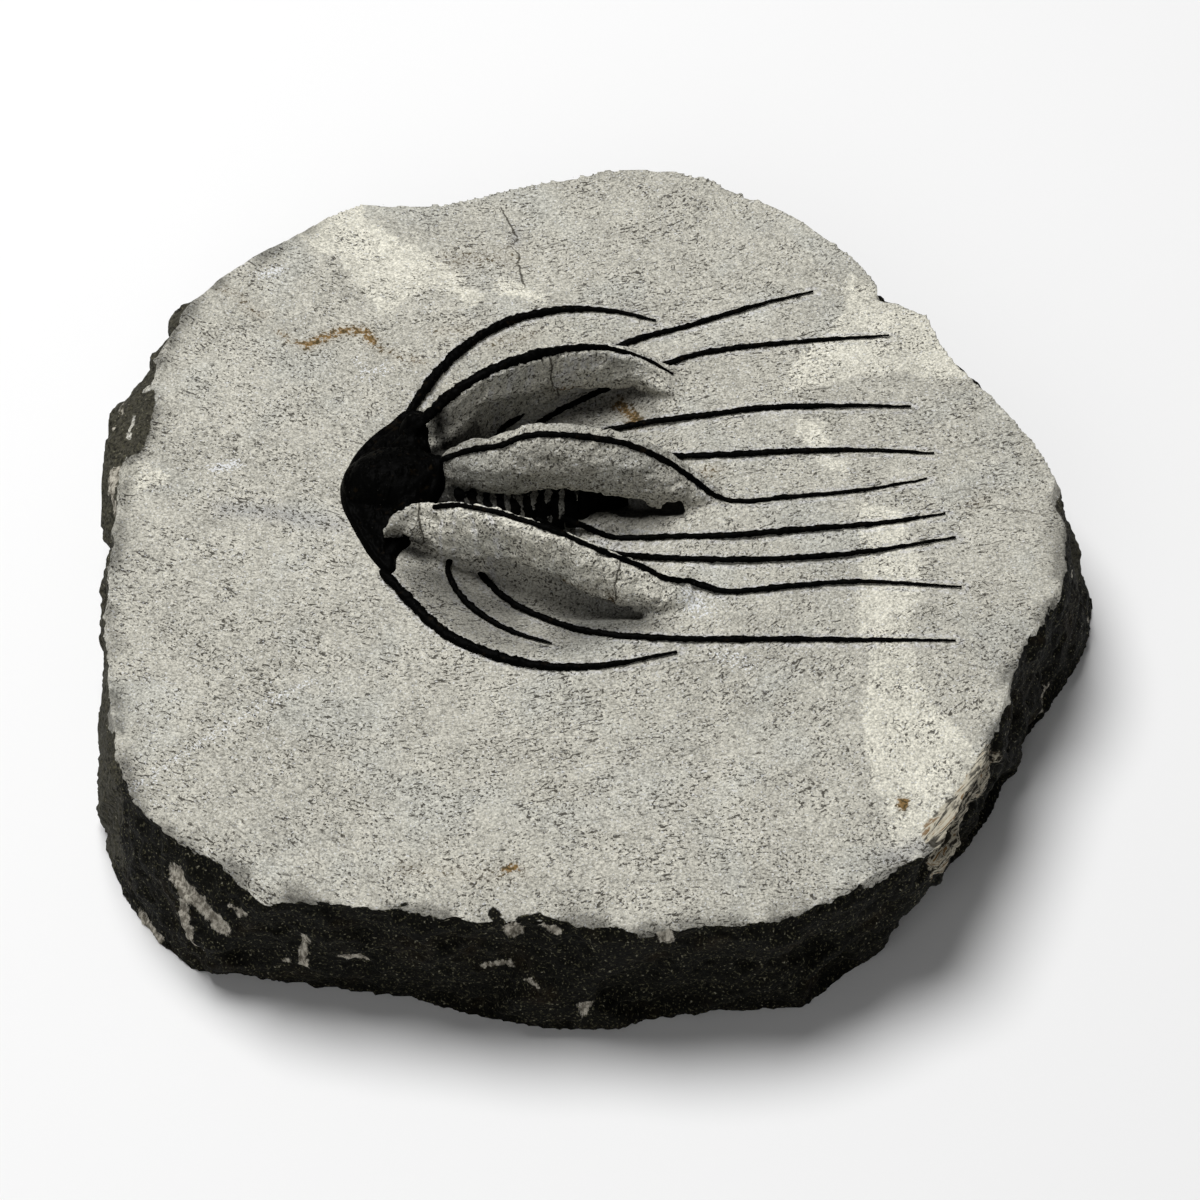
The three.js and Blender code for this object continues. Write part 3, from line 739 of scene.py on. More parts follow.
def rock_masks(points, normals, profile):
    """How far each point belongs to the worked face rather than the broken sides."""
    rock, _, _ = settings()
    inside = rim_distance(points, profile)
    back = back_share(np.arctan2(points[:, 1], points[:, 0]))
    flat = np.column_stack([points[:, :2], np.zeros(len(points))])
    dip = 0.35 * MM + back * 1.6 * MM
    dip = dip + (1 - back) * 1.6 * MM * np.clip(fractal(flat, 5 * MM, 3, 77) - 0.02, 0, 1)
    high = smoothstep(points[:, 2], rock.face_height - dip - 0.5 * MM, rock.face_height - dip)
    deep_inside = smoothstep(inside, 3 * MM, 4 * MM) * (points[:, 2] > rock.face_height / 2)
    up = smoothstep(normals[:, 2], 0.25 - 0.6 * back, 0.55 - 0.6 * back)
    up = np.maximum(up, smoothstep(dip, 0.5 * MM, 0.9 * MM))
    return np.maximum(high * up, deep_inside)


def path_angle(points):
    """Direction of the tool's path over the face, in degrees."""
    s, t, _ = to_animal(points).T
    angle = -35 + 45 * smoothstep(s, 0, 22 * MM) + 50 * smoothstep(-t, 26 * MM, 48 * MM)
    return angle + 25 * np.sin(s / (13 * MM) + 2 * t / (21 * MM))


def path_coordinates(points, squeeze=2.1):
    """Smooth distances along (squeezed) and across the tool's path, and the height.

    Each is the field whose slope fits the path's direction best, solved over a square grid.
    """
    count, size = 96, 150 * MM
    axis = (np.arange(count) / count - 0.5) * size
    x, y = (grid.ravel() for grid in np.meshgrid(axis, axis))
    angle = np.radians(path_angle(np.column_stack([x, y, 0 * x]))).reshape(count, count)
    wave = np.fft.fftfreq(count, size / count) * 2j * math.pi
    wave_x, wave_y = np.meshgrid(wave, wave)
    power = wave_x**2 + wave_y**2
    power[0, 0] = 1
    place = (points[:, :2] / size + 0.5) * count
    cell = np.floor(place).astype(int)
    share = place - cell
    found = []
    for way_x, way_y in ((np.cos(angle), np.sin(angle)), (-np.sin(angle), np.cos(angle))):
        mean_x, mean_y = way_x.mean(), way_y.mean()
        bend = np.fft.fft2(way_x - mean_x) * wave_x + np.fft.fft2(way_y - mean_y) * wave_y
        field = np.fft.ifft2(bend / power).real
        value = mean_x * points[:, 0] + mean_y * points[:, 1]
        for j in (0, 1):
            for i in (0, 1):
                weight = np.abs(1 - i - share[:, 0]) * np.abs(1 - j - share[:, 1])
                value = value + weight * field[(cell[:, 1] + j) % count, (cell[:, 0] + i) % count]
        found.append(value)
    return np.column_stack([found[0] / squeeze, found[1], points[:, 2]])


def spine_tree():
    """Points along the middles of the spines where they lie on the rock, for distances to them."""
    landing = {"occipital": 38.5 * MM, "palpebral": 37 * MM}  # where the raised spines reach the face
    found = []
    for name in SPINES:
        line = resample(spine_route(name)[0], 0.2 * MM)
        found.append(line[to_animal(line)[:, 0] > landing.get(name.split("_")[0], -math.inf)])
    line = np.concatenate(found)
    tree = kdtree.KDTree(len(line))
    for number, (x, y, _) in enumerate(line):
        tree.insert((x, y, 0), number)
    tree.balance()
    return tree, line


def nearest_spine(points, spines):
    """Flat distance from each point to the nearest lying spine, and that spine's height there."""
    tree, line = spines
    found = [tree.find((x, y, 0))[1:] for x, y, _ in points]
    number, gap = zip(*found)
    return np.array(gap), line[list(number), 2]


def on_body(s, t, h):
    """1 on the rock that fills the body, 0 elsewhere."""
    low = np.where(np.abs(t) < 2.7 * MM, 1.25 * MM, 0.9 * MM)
    return (s > 9.6 * MM) & (s < 25 * MM) & (np.abs(t) < 8.2 * MM) & (h < low) & (h > -3.2 * MM)


def fin_share(s, t, h):
    """1 on what stands up from the worked floor, 0 on the floor."""
    return smoothstep(h - worked_floor(s, t), 0.5 * MM, 1.2 * MM)


def roughen(mesh, profile, spines):
    """Carves the fine relief: granular fins, a softly marked face and coarse broken sides."""
    points, normals = read_points(mesh), read_normals(mesh)
    worked = rock_masks(points, normals, profile)
    s, t, h = to_animal(points).T
    standing = worked * fin_share(s, t, h) * (1 - 0.7 * on_body(s, t, h))
    coarse = fractal(points, 1.5 * MM, 3, 41)
    fine = fractal(points, 0.75 * MM, 2, 51)
    pits = np.clip(fractal(points, 1.0 * MM, 2, 61) - 0.2, 0, 1)
    move = worked * (0.05 * coarse + 0.03 * fine) * MM
    move += standing * (0.16 * coarse + 0.12 * fine - 0.5 * pits) * MM
    move += (1 - worked) * (0.22 * coarse + 0.2 * fine) * MM
    move[points[:, 2] < 0.05 * MM] = 0
    points = points + normals * move[:, None]

    # Rock beside a lying spine stays below the spine's middle, so that the spine shows.
    gap, height = nearest_spine(points, spines)
    ceiling = height - 0.12 * MM + 1.5 * np.maximum(gap - 0.5 * MM, 0)
    beside = (gap < 1.3 * MM) & (normals[:, 2] > 0.3)
    beside &= (points[:, 2] > ceiling) & (points[:, 2] < height + 1.0 * MM)
    points[beside, 2] = ceiling[beside]
    write_points(mesh, inside_box(points))


# Places on the prepared face, x and y in millimetres. Outlines of the cream calcite bands:
CALCITE_BANDS = [
    [(-34.9, 42.7), (-31, 46.4), (-27.4, 48.5), (-27.1, 44.9), (-24.9, 43.3), (-20.9, 40.1), (-16.7, 36.6),
     (-15.2, 34), (-13.3, 33.2), (-13.6, 31.5), (-15.5, 31.2), (-17, 33.2), (-19.9, 34), (-22.1, 32.7),
     (-24.4, 29), (-25.6, 31.5), (-27.6, 34), (-28.8, 36.6), (-30, 39), (-32.3, 39.8), (-34, 41.7)],
    [(-12.5, 35.9), (-9.2, 34.8), (-6.4, 32.7), (-7.3, 31.7), (-9.5, 32.7), (-12.2, 33.2)],
    [(26.8, 2.5), (31.2, 1.1), (31.6, -2.3), (33.2, -5.9), (33, -10), (31.7, -13), (31.5, -16.8),
     (31.9, -21.5), (33.3, -25.4), (36.4, -29.3), (39, -34.3), (32, -45.5), (28.4, -44), (28.1, -38.2),
     (26.7, -34.9), (26.2, -31.1), (26, -25.4), (26.8, -22.1), (27.2, -18.1), (26.1, -15.4),
     (26.2, -10.7), (26.9, -5.9), (26.8, -1.7)],
    [(20.5, 14.3), (23.4, 14), (24.4, 11.5), (23.9, 8.9), (26.2, 7.9), (25.6, 6.5), (23.5, 6.8), (21.8, 10.4),
     (20.4, 12.3)],
    [(27, 36.5), (31.6, 33.4), (35.6, 31.3), (37.9, 27.5), (41, 20.7), (36.5, 20), (32.2, 21.2), (27.8, 20.7),
     (23.4, 19.2), (19, 18.2), (21.4, 24.5), (24.8, 27.5), (26.5, 30.6)],
    [(-52, 8), (-50, 8.2), (-47.5, 6.8), (-46.4, 5.6), (-48, 4.6), (-50.4, 3.6), (-52, 3)],
]
# Marks, each a line with its radius and strength. Brown iron stains:
STAINS = [
    ([(-36, 27.5), (-34.6, 26), (-32.9, 25.2)], 0.6, 0.7),
    ([(-32.9, 25.2), (-31.3, 26.3), (-29, 27.6), (-26.7, 27.5), (-25.7, 26)], 0.9, 1.0),
    ([(-25.7, 26), (-24.6, 24.8), (-22.5, 23.7), (-19.9, 22.8)], 0.6, 0.62),
    ([(-42.9, 34), (-40.7, 32.7), (-39.2, 30.4), (-37.6, 29.8)], 0.7, 0.5),
    ([(-17, 38.6), (-13.5, 38.4), (-10.9, 39)], 2.0, 0.45),
    ([(-18.6, 27.4), (-15.1, 27.7)], 1.0, 0.4),
    ([(-12.4, 26), (-10, 26.6), (-7.8, 27.7)], 1.0, 0.45),
    ([(29.6, -38.1), (29.7, -37.5)], 0.5, 1.5),
    ([(-9.8, -45.9), (-8.9, -45.6)], 0.45, 1.3),
    ([(9.9, 6.6), (11.8, 7.2)], 1.2, 0.55),
    ([(38.4, 1.6), (40, 2.2)], 0.6, 0.5),
    ([(1.4, 18.9), (2.6, 17.2), (3.4, 15.6)], 1.0, 0.95),
    ([(-20, -45.6), (-14, -46.6), (-8, -46.4)], 1.2, 0.35),
]
# white crystals,
CRYSTALS = [
    ([(-38.6, 36.2), (-36.4, 37)], 0.8, 0.8), ([(-27.4, 22.7), (-26.3, 21.3), (-23.9, 21.8)], 0.6, 0.7),
    ([(-42, 7.2), (-39.5, 7.9)], 0.7, 1.0), ([(7.8, -10.2), (9.8, -12.4)], 1.5, 0.8),
    ([(11.8, -18.6), (14.6, -19.6)], 1.3, 0.55),
    ([(-48.1, -36.2), (-43.8, -32.6), (-39.5, -28.9), (-35, -25.3), (-30.3, -22.1)], 0.6, 0.6),
]
# bluish smears,
SMEARS = [
    ([(-40.5, 1.3), (-36.6, 0.9), (-32.3, 0), (-28.5, -0.8)], 1.2, 0.8),
    ([(-10.2, 43.4), (-10, 41)], 0.6, 0.9), ([(28.4, -44.4), (31.2, -42.9)], 1.3, 1.0),
]
# painted shade: black places in the hollow beside the outer fins, the first one also for crumbs of shell
# under the left fin's nose,
SHADE_AND_CRUMB_PLACES = [
    ([(-21.9, -3.6), (-19.2, -4.7)], 1.0, 0.9), ([(-18.8, 14.8), (-18.2, 12), (-17.3, 9.6)], 1.2, 1.0),
    ([(-17.5, -7.4), (-13.6, -10.3), (-9.8, -10.6)], 2.0, 0.5), ([(-3, -14.1), (4.5, -14.3)], 1.8, 0.5),
]
# duller places near the rim,
DULL_PLACES = [
    ([(35.6, 32), (38.5, 29), (41.2, 23.5)], 1.3, 0.6),
    ([(23.3, -50.3), (26, -48.5), (29.4, -45.4)], 0.8, 0.9),
]
# and dark chips in the rim.
CHIPS = [
    ([(-20.9, -50.3), (-19, -50), (-17, -50.6)], 0.45, 0.6), ([(-11.1, -51.1), (-10, -52.8)], 0.6, 0.9),
    ([(-8.4, -52), (-6.4, -51.5), (-5.2, -52.3)], 0.65, 0.9),
    ([(-49.9, 18), (-50.1, 13.2), (-50.7, 10)], 1.0, 1.25),
    ([(28.3, -46.9), (29.6, -45.8), (31, -44.9)], 0.75, 0.85),
]
# Fibrous calcite veins in the broken sides, with x, y and z.
SIDE_VEINS = [
    ([(-42.6, -43.4, 13.9), (-40.4, -44.9, 12.5), (-38.2, -46, 11.6)], 1.1, 1.0),
    ([(-41.6, -44.3, 11), (-41, -45, 8.6), (-40.4, -45.7, 5.2)], 0.6, 0.9),
    ([(-38.2, -46, 11.9), (-37.3, -46.4, 10.4)], 1.0, 0.9),
    ([(-36.4, -46.9, 14.2), (-35, -47.5, 14), (-35.6, -47, 13.2)], 0.5, 0.6),
    ([(-29.7, -49.1, 12), (-29.9, -48.7, 9), (-29.7, -48.4, 6)], 0.5, 0.75),
    ([(-31.9, -48, 6.1), (-30, -48, 6)], 0.5, 0.7),
    ([(-25.9, -49.6, 8.9), (-24.1, -49.6, 7.7)], 0.6, 0.9),
    ([(-12.3, -52.3, 9.2), (-9.7, -52.8, 9.3)], 0.45, 0.75),
    ([(-8.1, -52.8, 8.3), (-6.8, -52.8, 8.1)], 0.4, 0.7),
    ([(-48.2, -39.8, 0.7), (-46.1, -42.4, 0.6)], 0.8, 0.75),
    ([(-9.4, -52.7, 17), (-9.2, -52.9, 15.6)], 0.9, 0.9),
    ([(-6.4, -52.7, 17.2), (-5, -52.7, 16.6)], 0.6, 0.8),
    ([(5.6, -53, 17.6), (6, -53.4, 15.8)], 0.7, 1.0),
    ([(-2.4, -53.2, 5.2), (-1.6, -53.2, 5.2)], 0.5, 0.9),
    ([(47.9, -12, 3.4), (47.2, -12.8, 1.8)], 1.0, 1.1),
    ([(49.3, -4.3, 14), (49.6, -3.9, 13.6)], 0.5, 1.0),
    ([(53.4, 3.6, 4.4), (53.2, 1.6, 2.6), (52.3, -1.6, 2.9)], 0.35, 0.8),
    ([(-51.9, 7.6, 16.4), (-52.1, 3.2, 16.4), (-51.4, -1.6, 16.6)], 0.9, 0.7),
    ([(-53.4, 16.5, 14), (-52.6, 12, 13)], 0.5, 0.6), ([(-52.2, 19, 15), (-52.9, 14, 15)], 0.4, 0.5),
    ([(47, 22, 8), (44, 27, 5)], 0.6, 0.7), ([(-30, 48.6, 9), (-25, 50, 6)], 0.7, 0.8),
    ([(8, 53, 12), (12, 52, 9)], 0.6, 0.7),
]
# The ledge of thin layers at the near right corner.
LAYERS = [(33.2, -41.6), (37, -36.8), (39.8, -31.6)]
# Hairline cracks in the face, each a line with its strength,
CRACKS = [
    ([(-11.6, 46.4), (-11.2, 45.2), (-10.1, 42.5), (-9.8, 40.6), (-9.5, 37), (-9.2, 34.8)], 1.0),
    ([(38.6, 1.4), (42, 1.6), (46.5, 0.6)], 0.6),
    ([(7.2, -20.3), (9.4, -19.5), (11.4, -19.2)], 0.55),
    ([(37.5, 9.6), (40.6, 10.8)], 0.45),
    ([(36.4, 3.5), (39.4, 4.3)], 0.45),
    ([(36.9, -20), (39.6, -20.6)], 0.4),
]
# and across the fins: the side of the body, s where it starts at h = 0, its lean, and its strength.
FIN_CRACKS = [(-1, 8.6, 0.03, 1.0), (-1, 28.2, 0.25, 1.0), (1, 23.6, -0.15, 1.0), (0, 33.4, 0.4, 0.3)]
# Stains on the fins: the side of the body, s, h, the reach along each, and the strength.
FIN_STAINS = [(-1, 28.4, 0.6, 1.1, 1.3, 0.7), (1, 24, 0.8, 2.0, 1.5, 0.85), (-1, 23.5, 1.4, 4.5, 0.5, 0.55)]


def painted(points, marks, unroll=lambda at: at):
    """Closeness to a list of marks, each a line in millimetres with its radius and strength, 0 to about 1."""
    total = np.zeros(len(points))
    points = unroll(points)
    for line, radius, strength in marks:
        line = unroll(np.array(line) * MM)
        gap = line_distance(points[:, : line.shape[1]], line)
        total = np.maximum(total, strength * bell(gap, 0, radius * MM))
    return total


def unrolled(points):
    """Places on the block's side as distance round it and height."""
    turn = np.arctan2(points[:, 1], points[:, 0]) - math.radians(100)
    return np.column_stack([turn % (2 * math.pi) * 50 * MM, points[:, 2]])


def calcite_bands(points, standing):
    """Distance inside the nearest calcite band in millimetres, from -3 to 3; there are none on the fins."""
    inside = [inside_distance(points[:, :2], np.array(outline) * MM) / MM for outline in CALCITE_BANDS]
    return np.where(standing > 0.5, -3, np.clip(np.max(inside, axis=0), -3, 3))


def stains(points, s, t, h, standing):
    found = painted(points, STAINS) * (1 - standing)
    for side, at, level, wide, tall, strength in FIN_STAINS:
        patch = strength * np.exp(-(((s / MM - at) / wide) ** 2) - ((h / MM - level) / tall) ** 2)
        found = np.maximum(found, patch * standing * (side * t > 5 * MM))
    return found


def cracks(points, s, t, h, standing):
    """Signed distance to the nearest crack in millimetres, and that crack's strength."""
    offset = np.full(len(points), 1.5)
    strength = np.zeros(len(points))

    def add(gap, here, weight):
        mine = here & (np.abs(gap) < np.abs(offset))
        offset[mine] = gap[mine]
        strength[mine] = np.broadcast_to(weight, gap.shape)[mine]

    for line, weight in CRACKS:
        line = np.array(line) * MM
        gap = line_distance(points[:, :2], line)
        chord = line[-1] - line[0]
        side = np.sign(chord[0] * (points[:, 1] - line[0, 1]) - chord[1] * (points[:, 0] - line[0, 0]))
        add(gap * side / MM, (gap < 1.2 * MM) & (standing < 0.5), weight)
    regions = {-1: t < -5 * MM, 0: np.abs(t) < 4 * MM, 1: t > 6 * MM}
    for side, start, lean, weight in FIN_CRACKS:
        gap = s / MM - start - lean * h / MM - 0.25 * np.sin(h / (0.7 * MM))
        add(gap, regions[side] & (standing > 0.4), weight)

    # The crevice along the outer lip of the left fin.
    gap = h / MM - columns_at(LEFT_FIN, s / MM)[1] - 0.2
    outside = (fin_side("palpebral_spine_left", s, t) < -0.8) & (t > -20 * MM)
    here = outside & (s > 9 * MM) & (s < 29 * MM) & (standing > 0.2) & (np.abs(gap) < 0.8)
    add(gap, here, np.clip(0.5 + 1.4 * fractal(points, 1.6 * MM, 2, 81), 0, 1))
    return offset, strength


def paler_sides(points):
    """How far the broken side is painted paler: all round the left end, and high up at the right end."""
    around = np.degrees(np.arctan2(points[:, 1], points[:, 0]))
    patchy = 4 * fractal(points, 6 * MM, 3, 71)
    left = smoothstep(np.abs(around) + patchy, 142, 148)
    return left + bell(around + patchy, 4, 8) * smoothstep(points[:, 2], 5 * MM, 11 * MM)


def dusky_rim(points, profile):
    """Less abraded stretches along the near rim."""
    turn = np.arctan2(points[:, 1], points[:, 0])
    near = np.exp(-np.maximum(rim_distance(points, profile) - 0.5 * MM, 0) / (0.8 * MM))
    return near * (1 - back_share(turn)) * np.clip(0.8 + 2.4 * fractal(points, 4.5 * MM, 3, 61), 0, 1.3)


def painted_fin_light(s, t, h):
    """Painted light and shade on the fins: how much lighter each part is painted than the face, below 0
    darker; the middle fin's hanging lip has a painted highlight.
    """
    left = np.interp(s / MM, [6.5, 9.5], [-1.5, 1])
    lip = 1.3 * (1 - smoothstep(h / MM - fin_hang(s), 0.15, 0.5)) * smoothstep(s, 17 * MM, 22 * MM)
    nose = 1.7 * (1 - smoothstep(s, 12 * MM, 17 * MM))
    return np.where(t < -5 * MM, left, np.where(t < 4.5 * MM, lip - 0.9 - nose, 0.4))


def paint_rock(mesh, profile, spines):
    """Stores where each kind of mark lies on the rock, for its material."""
    points, normals = read_points(mesh), read_normals(mesh)
    s, t, h = to_animal(points).T
    standing = fin_share(s, t, h)
    crack, crack_strength = cracks(points, s, t, h, standing)
    layers = line_distance(points[:, :2], np.array(LAYERS) * MM)
    body = on_body(s, t, h)
    # Painted shade on the body's rock: before the first plate, and where the middle fin hangs over it.
    neck = body * (1 - smoothstep(s, 12.2 * MM, 12.7 * MM))
    between = 0.8 * body * ((h / MM < fin_hang(s)) | (np.abs(t) > 2.7 * MM))
    dull_places = painted(points, DULL_PLACES) * (1 - standing)
    marks = {
        "worked": rock_masks(points, normals, profile) * (1 - painted(points, CHIPS)),
        "standing": standing,
        "band": calcite_bands(points, standing),
        "stain": stains(points, s, t, h, standing),
        "crystals": painted(points, CRYSTALS) * (1 - standing),
        "smear": painted(points, SMEARS) * (1 - standing),
        "crack": crack,
        "crack_strength": crack_strength,
        "vein": painted(points, SIDE_VEINS, unrolled),
        "paler_side": paler_sides(points),
        "layered": np.clip(2.5 - layers / MM, 0, 1) * smoothstep(points[:, 2], 10 * MM, 14.5 * MM),
        "spine_gap": np.clip(nearest_spine(points, spines)[0] / MM, 0, 3),
        # Painted shade beneath the fins' lips, at the shaded places, before the first body plate and on the
        # body's rock under the middle fin.
        "recess_shade": np.maximum.reduce([painted_recess_shade(s, t, h), 0.75 * neck, between]),
        # Painted shade in the near half of the hollow and before the first body plate, with the duller rock
        # along the rim.
        "dull_and_shade": np.maximum.reduce([painted_hollow_shade(s, t, h), dull_places, dusky_rim(points, profile), neck]),
        "fin_light_and_shade": standing * painted_fin_light(s, t, h),
    }
    for name, values in marks.items():
        layer = mesh.attributes.new(name, "FLOAT", "POINT")
        layer.data.foreach_set("value", values.astype(np.float32))
    layer = mesh.attributes.new("path", "FLOAT_VECTOR", "POINT")
    layer.data.foreach_set("vector", path_coordinates(points).astype(np.float32).ravel())


def build_slab():
    rock, _, _ = settings()
    profile, spines = side_profile(), spine_tree()
    shapes = [
        slab_block(profile),
        side_fin("palpebral_spine_left", -1, LEFT_FIN, nose=LEFT_NOSE),
        side_fin("palpebral_spine_right", 1, RIGHT_FIN, tail=RIGHT_TAIL),
        middle_fin(),
        body_core(),
    ]
    piece = make_object("rock_slab", *join(shapes))
    face_out(piece)
    grain = rock.grain * 1
    apply_modifier(piece, "REMESH", mode="VOXEL", voxel_size=grain, adaptivity=0)
    roughen(piece.data, profile, spines)
    triangles = 2 * len(piece.data.polygons)
    if triangles > rock.triangles:
        write_points(piece.data, read_points(piece.data) / MM)  # very small edges spoil the decimation
        apply_modifier(piece, "DECIMATE", ratio=rock.triangles / triangles)
        write_points(piece.data, inside_box(read_points(piece.data) * MM))
    paint_rock(piece.data, profile, spines)
    finish_piece(piece, limestone(), "limestone", "matrix_slab")


# ------------------------------------------------------------------ the shell's shape


def shell_piece(name, rings, node):
    piece = make_object(name, *loft(rings))
    face_out(piece)
    finish_piece(piece, black_shell(), "shell", node)


def head_outline(count):
    """The head's middle, and its edge from the CAD node as an even closed line in the animal frame."""
    foot = to_animal(node_points("cephalon"))
    edge = foot[foot[:, 2] < foot[:, 2].min() + 0.05 * MM][:, :2]
    middle = np.array([5.5, -0.5]) * MM
    edge = edge[np.linalg.norm(edge - middle, axis=1) > 2 * MM]
    turn = np.arctan2(edge[:, 1] - middle[1], edge[:, 0] - middle[0])
    return middle, resample(edge[np.argsort(turn)], count=count, closed=True)


def dome(across, along):
    return np.sqrt(np.clip(1 - across**2 - along**2, 0, 1))


def head_surface(s, t, rim):
    """Height of the head shield; rim is the distance from its edge. All in millimetres."""
    middle_lobe = 3.9 * dome((s - 6.2) / 6.0, (t + 0.2) / 4.3) ** 0.9
    side_lobes = 2.6 * dome((s - 7.6) / 2.3, (np.abs(t) - 4.5) / 1.7)
    eyes = 3.7 * dome((s - 8.4) / 2.2, (np.abs(t) - 6.6) / 1.8)
    neck = 4.1 * dome((s - 10.3) / 1.5, (t + 0.1) / 2.1)
    cheek = 0.2 + 0.95 * smoothstep(rim, 0.0, 2.4)
    lobes = np.stack([middle_lobe, side_lobes, eyes, neck])
    blend = 5  # how tightly the lobes melt into one another
    raised = np.log(np.exp(blend * np.clip(lobes - cheek, 0, 9)).sum(0) - (len(lobes) - 1)) / blend
    brim = 0.22 * bell(rim, 0.5, 0.32) - 0.15 * bell(rim, 1.2, 0.4)
    return cheek + raised + brim - 0.5 * np.exp(-rim / 0.15)


def tubercles(points, size):
    """Small round bumps, 0 to 1, one in most cells of the given size."""
    nearest = np.array([noise.voronoi(Vector(p))[0][0] for p in points / size])
    return np.maximum(0.0, 1 - (nearest / 0.45) ** 2)


def build_head():
    middle, edge = head_outline(240)
    rows = []
    for share in [1.0, 0.99, 0.975, *np.linspace(0.955, 0.03, 58)]:
        at = middle + share * (edge - middle)
        rim = np.abs(inside_distance(at, edge)) / MM
        s, t = at.T
        flat = np.column_stack([s, t, np.zeros(len(s))])
        rough = 0.12 * fractal(flat, 1.3 * MM, 3, 71) + 0.22 * tubercles(flat, 0.6 * MM)
        h = head_surface(s / MM, t / MM, rim) + smoothstep(rim, 0, 1) * rough
        rows.append(to_row(np.column_stack([at, h * MM])))
    uneven = 1 + 0.016 * fractal(rows[0], 1.1 * MM, 3, 81)[:, None]
    foot = np.column_stack([middle + uneven * (edge - middle), np.full(len(edge), -0.5 * MM)])
    root = np.column_stack([edge, np.full(len(edge), -2.5 * MM)])
    shell_piece("head_shield", [to_row(root), to_row(foot), *rows], "cephalon")


def body_span(name):
    """Where a node of the body starts and ends along s."""
    return [to_animal(np.array(corner))[0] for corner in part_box(name)]


def build_body_plates():
    for number, name in enumerate(SEGMENTS):
        start, end = body_span(name)
        half = (6.3 + number / (len(SEGMENTS) - 1) * (4.5 - 6.3)) * MM
        rings = []
        for share in np.linspace(0, 1, 14):
            roll = max(math.sin(math.pi * share), 0) ** 0.5
            lift = (0.14 + 0.42 * roll - 0.06 * bell(share, 0.45, 0.1)) * MM
            section = body_section(half * (0.97 + 0.03 * roll), lift, 56)
            ring = np.column_stack([np.full(len(section), start + share * (end - start)), section])
            ring[:-2, 2] += 0.07 * MM * fractal(ring[:-2], 0.8 * MM, 3, 91 + number)
            rings.append(to_row(ring))
        shell_piece(name.replace("thorax_segment", "body_plate"), rings, name)


def build_tail_shield():
    start, end = body_span("pygidium")
    rings = []
    for share in np.linspace(0, 0.985, 40):
        half = (0.25 + 3.9 * (1 - share) ** 1.2) * MM
        ribs = 0.14 * math.cos(share * 2 * math.pi * 5)
        lift = (0.3 - 2.4 * share**1.6 + ribs) * MM
        section = body_section(half, lift, 56)
        section[:-2, 1] = np.maximum(section[:-2, 1], -3.6 * MM)
        ring = np.column_stack([np.full(len(section), start + share * (end - start)), section])
        ring[:-2, 2] += 0.06 * MM * fractal(ring[:-2], 0.8 * MM, 3, 131)
        rings.append(to_row(ring))
    shell_piece("tail_shield", rings, "pygidium")


ROOT_LENGTH = 2.6 * MM  # how far a spine reaches back into the plate that it leaves

# A spine's thickness as a share of the CAD radius: at its root, the change towards its tip, and the
# places along s in millimetres between which it changes.
THICKNESS = {
    "occipital_spine": (0.92, -0.12, 33, 40),
    "palpebral_spine_right": (1.55, -0.7, 18, 33),
    "palpebral_spine_left": (0.75, 0.12, 28, 38),
    "genal_spine_left": (1.22, -0.3, 14, 30),
    "genal_spine_right": (1.22, -0.3, 14, 30),
}
PLEURAL_THICKNESS = (0.84, 0, 0, 1)


def build_spine(name, number):
    """A spine along its CAD route, slightly flattened, with an uneven broken surface."""
    middles, radii = spine_route(name)
    is_genal = name.startswith("genal")
    back = middles[0] - middles[1]
    root = middles[:1] + back * (ROOT_LENGTH * (0.4 if is_genal else 1)) / np.linalg.norm(back)
    root_radius = radii[:1] * (0.6 if is_genal else 1.25)
    middles, radii = np.concatenate([root, middles]), np.concatenate([root_radius, radii])
    line = resample(np.column_stack([middles, radii]), 0.17 * MM)
    share, change, low, high = THICKNESS.get(name, PLEURAL_THICKNESS)
    sides = 16
    turn = 2 * math.pi * np.arange(sides)[:, None] / sides
    rings = []
    for i, (x, y, z, radius) in enumerate(line):
        ahead = line[min(i + 1, len(line) - 1), :3] - line[max(i - 1, 0), :3]
        ahead = ahead / np.linalg.norm(ahead)
        across = np.cross(ahead, (0, 0, 1))
        across /= np.linalg.norm(across)
        upright = np.cross(across, ahead)
        place = Vector((x, y, z)) / (2.2 * MM)
        middle = np.array((x, y, z))
        width = share + change * smoothstep(to_animal(middle)[0], low * MM, high * MM)
        width *= 1 + 0.2 * noise.fractal(place, 1.0, 2.0, 3)
        middle = middle + across * (0.08 * MM * noise.noise(place * 1.7 + Vector((number, 7, 3))))
        rings.append(middle + radius * width * (across * np.cos(turn) + upright * 0.8 * np.sin(turn)))
    rings = np.array(rings)
    flat = rings.reshape(-1, 3)
    outward = (rings - rings.mean(1, keepdims=True)).reshape(-1, 3)
    flat = inside_box(flat + outward * (0.34 * fractal(flat, 0.5 * MM, 4, 151 + number))[:, None])
    shell_piece(name.replace("_spine", "_spine_shell"), flat.reshape(rings.shape), name)


# ------------------------------------------------------------------ materials


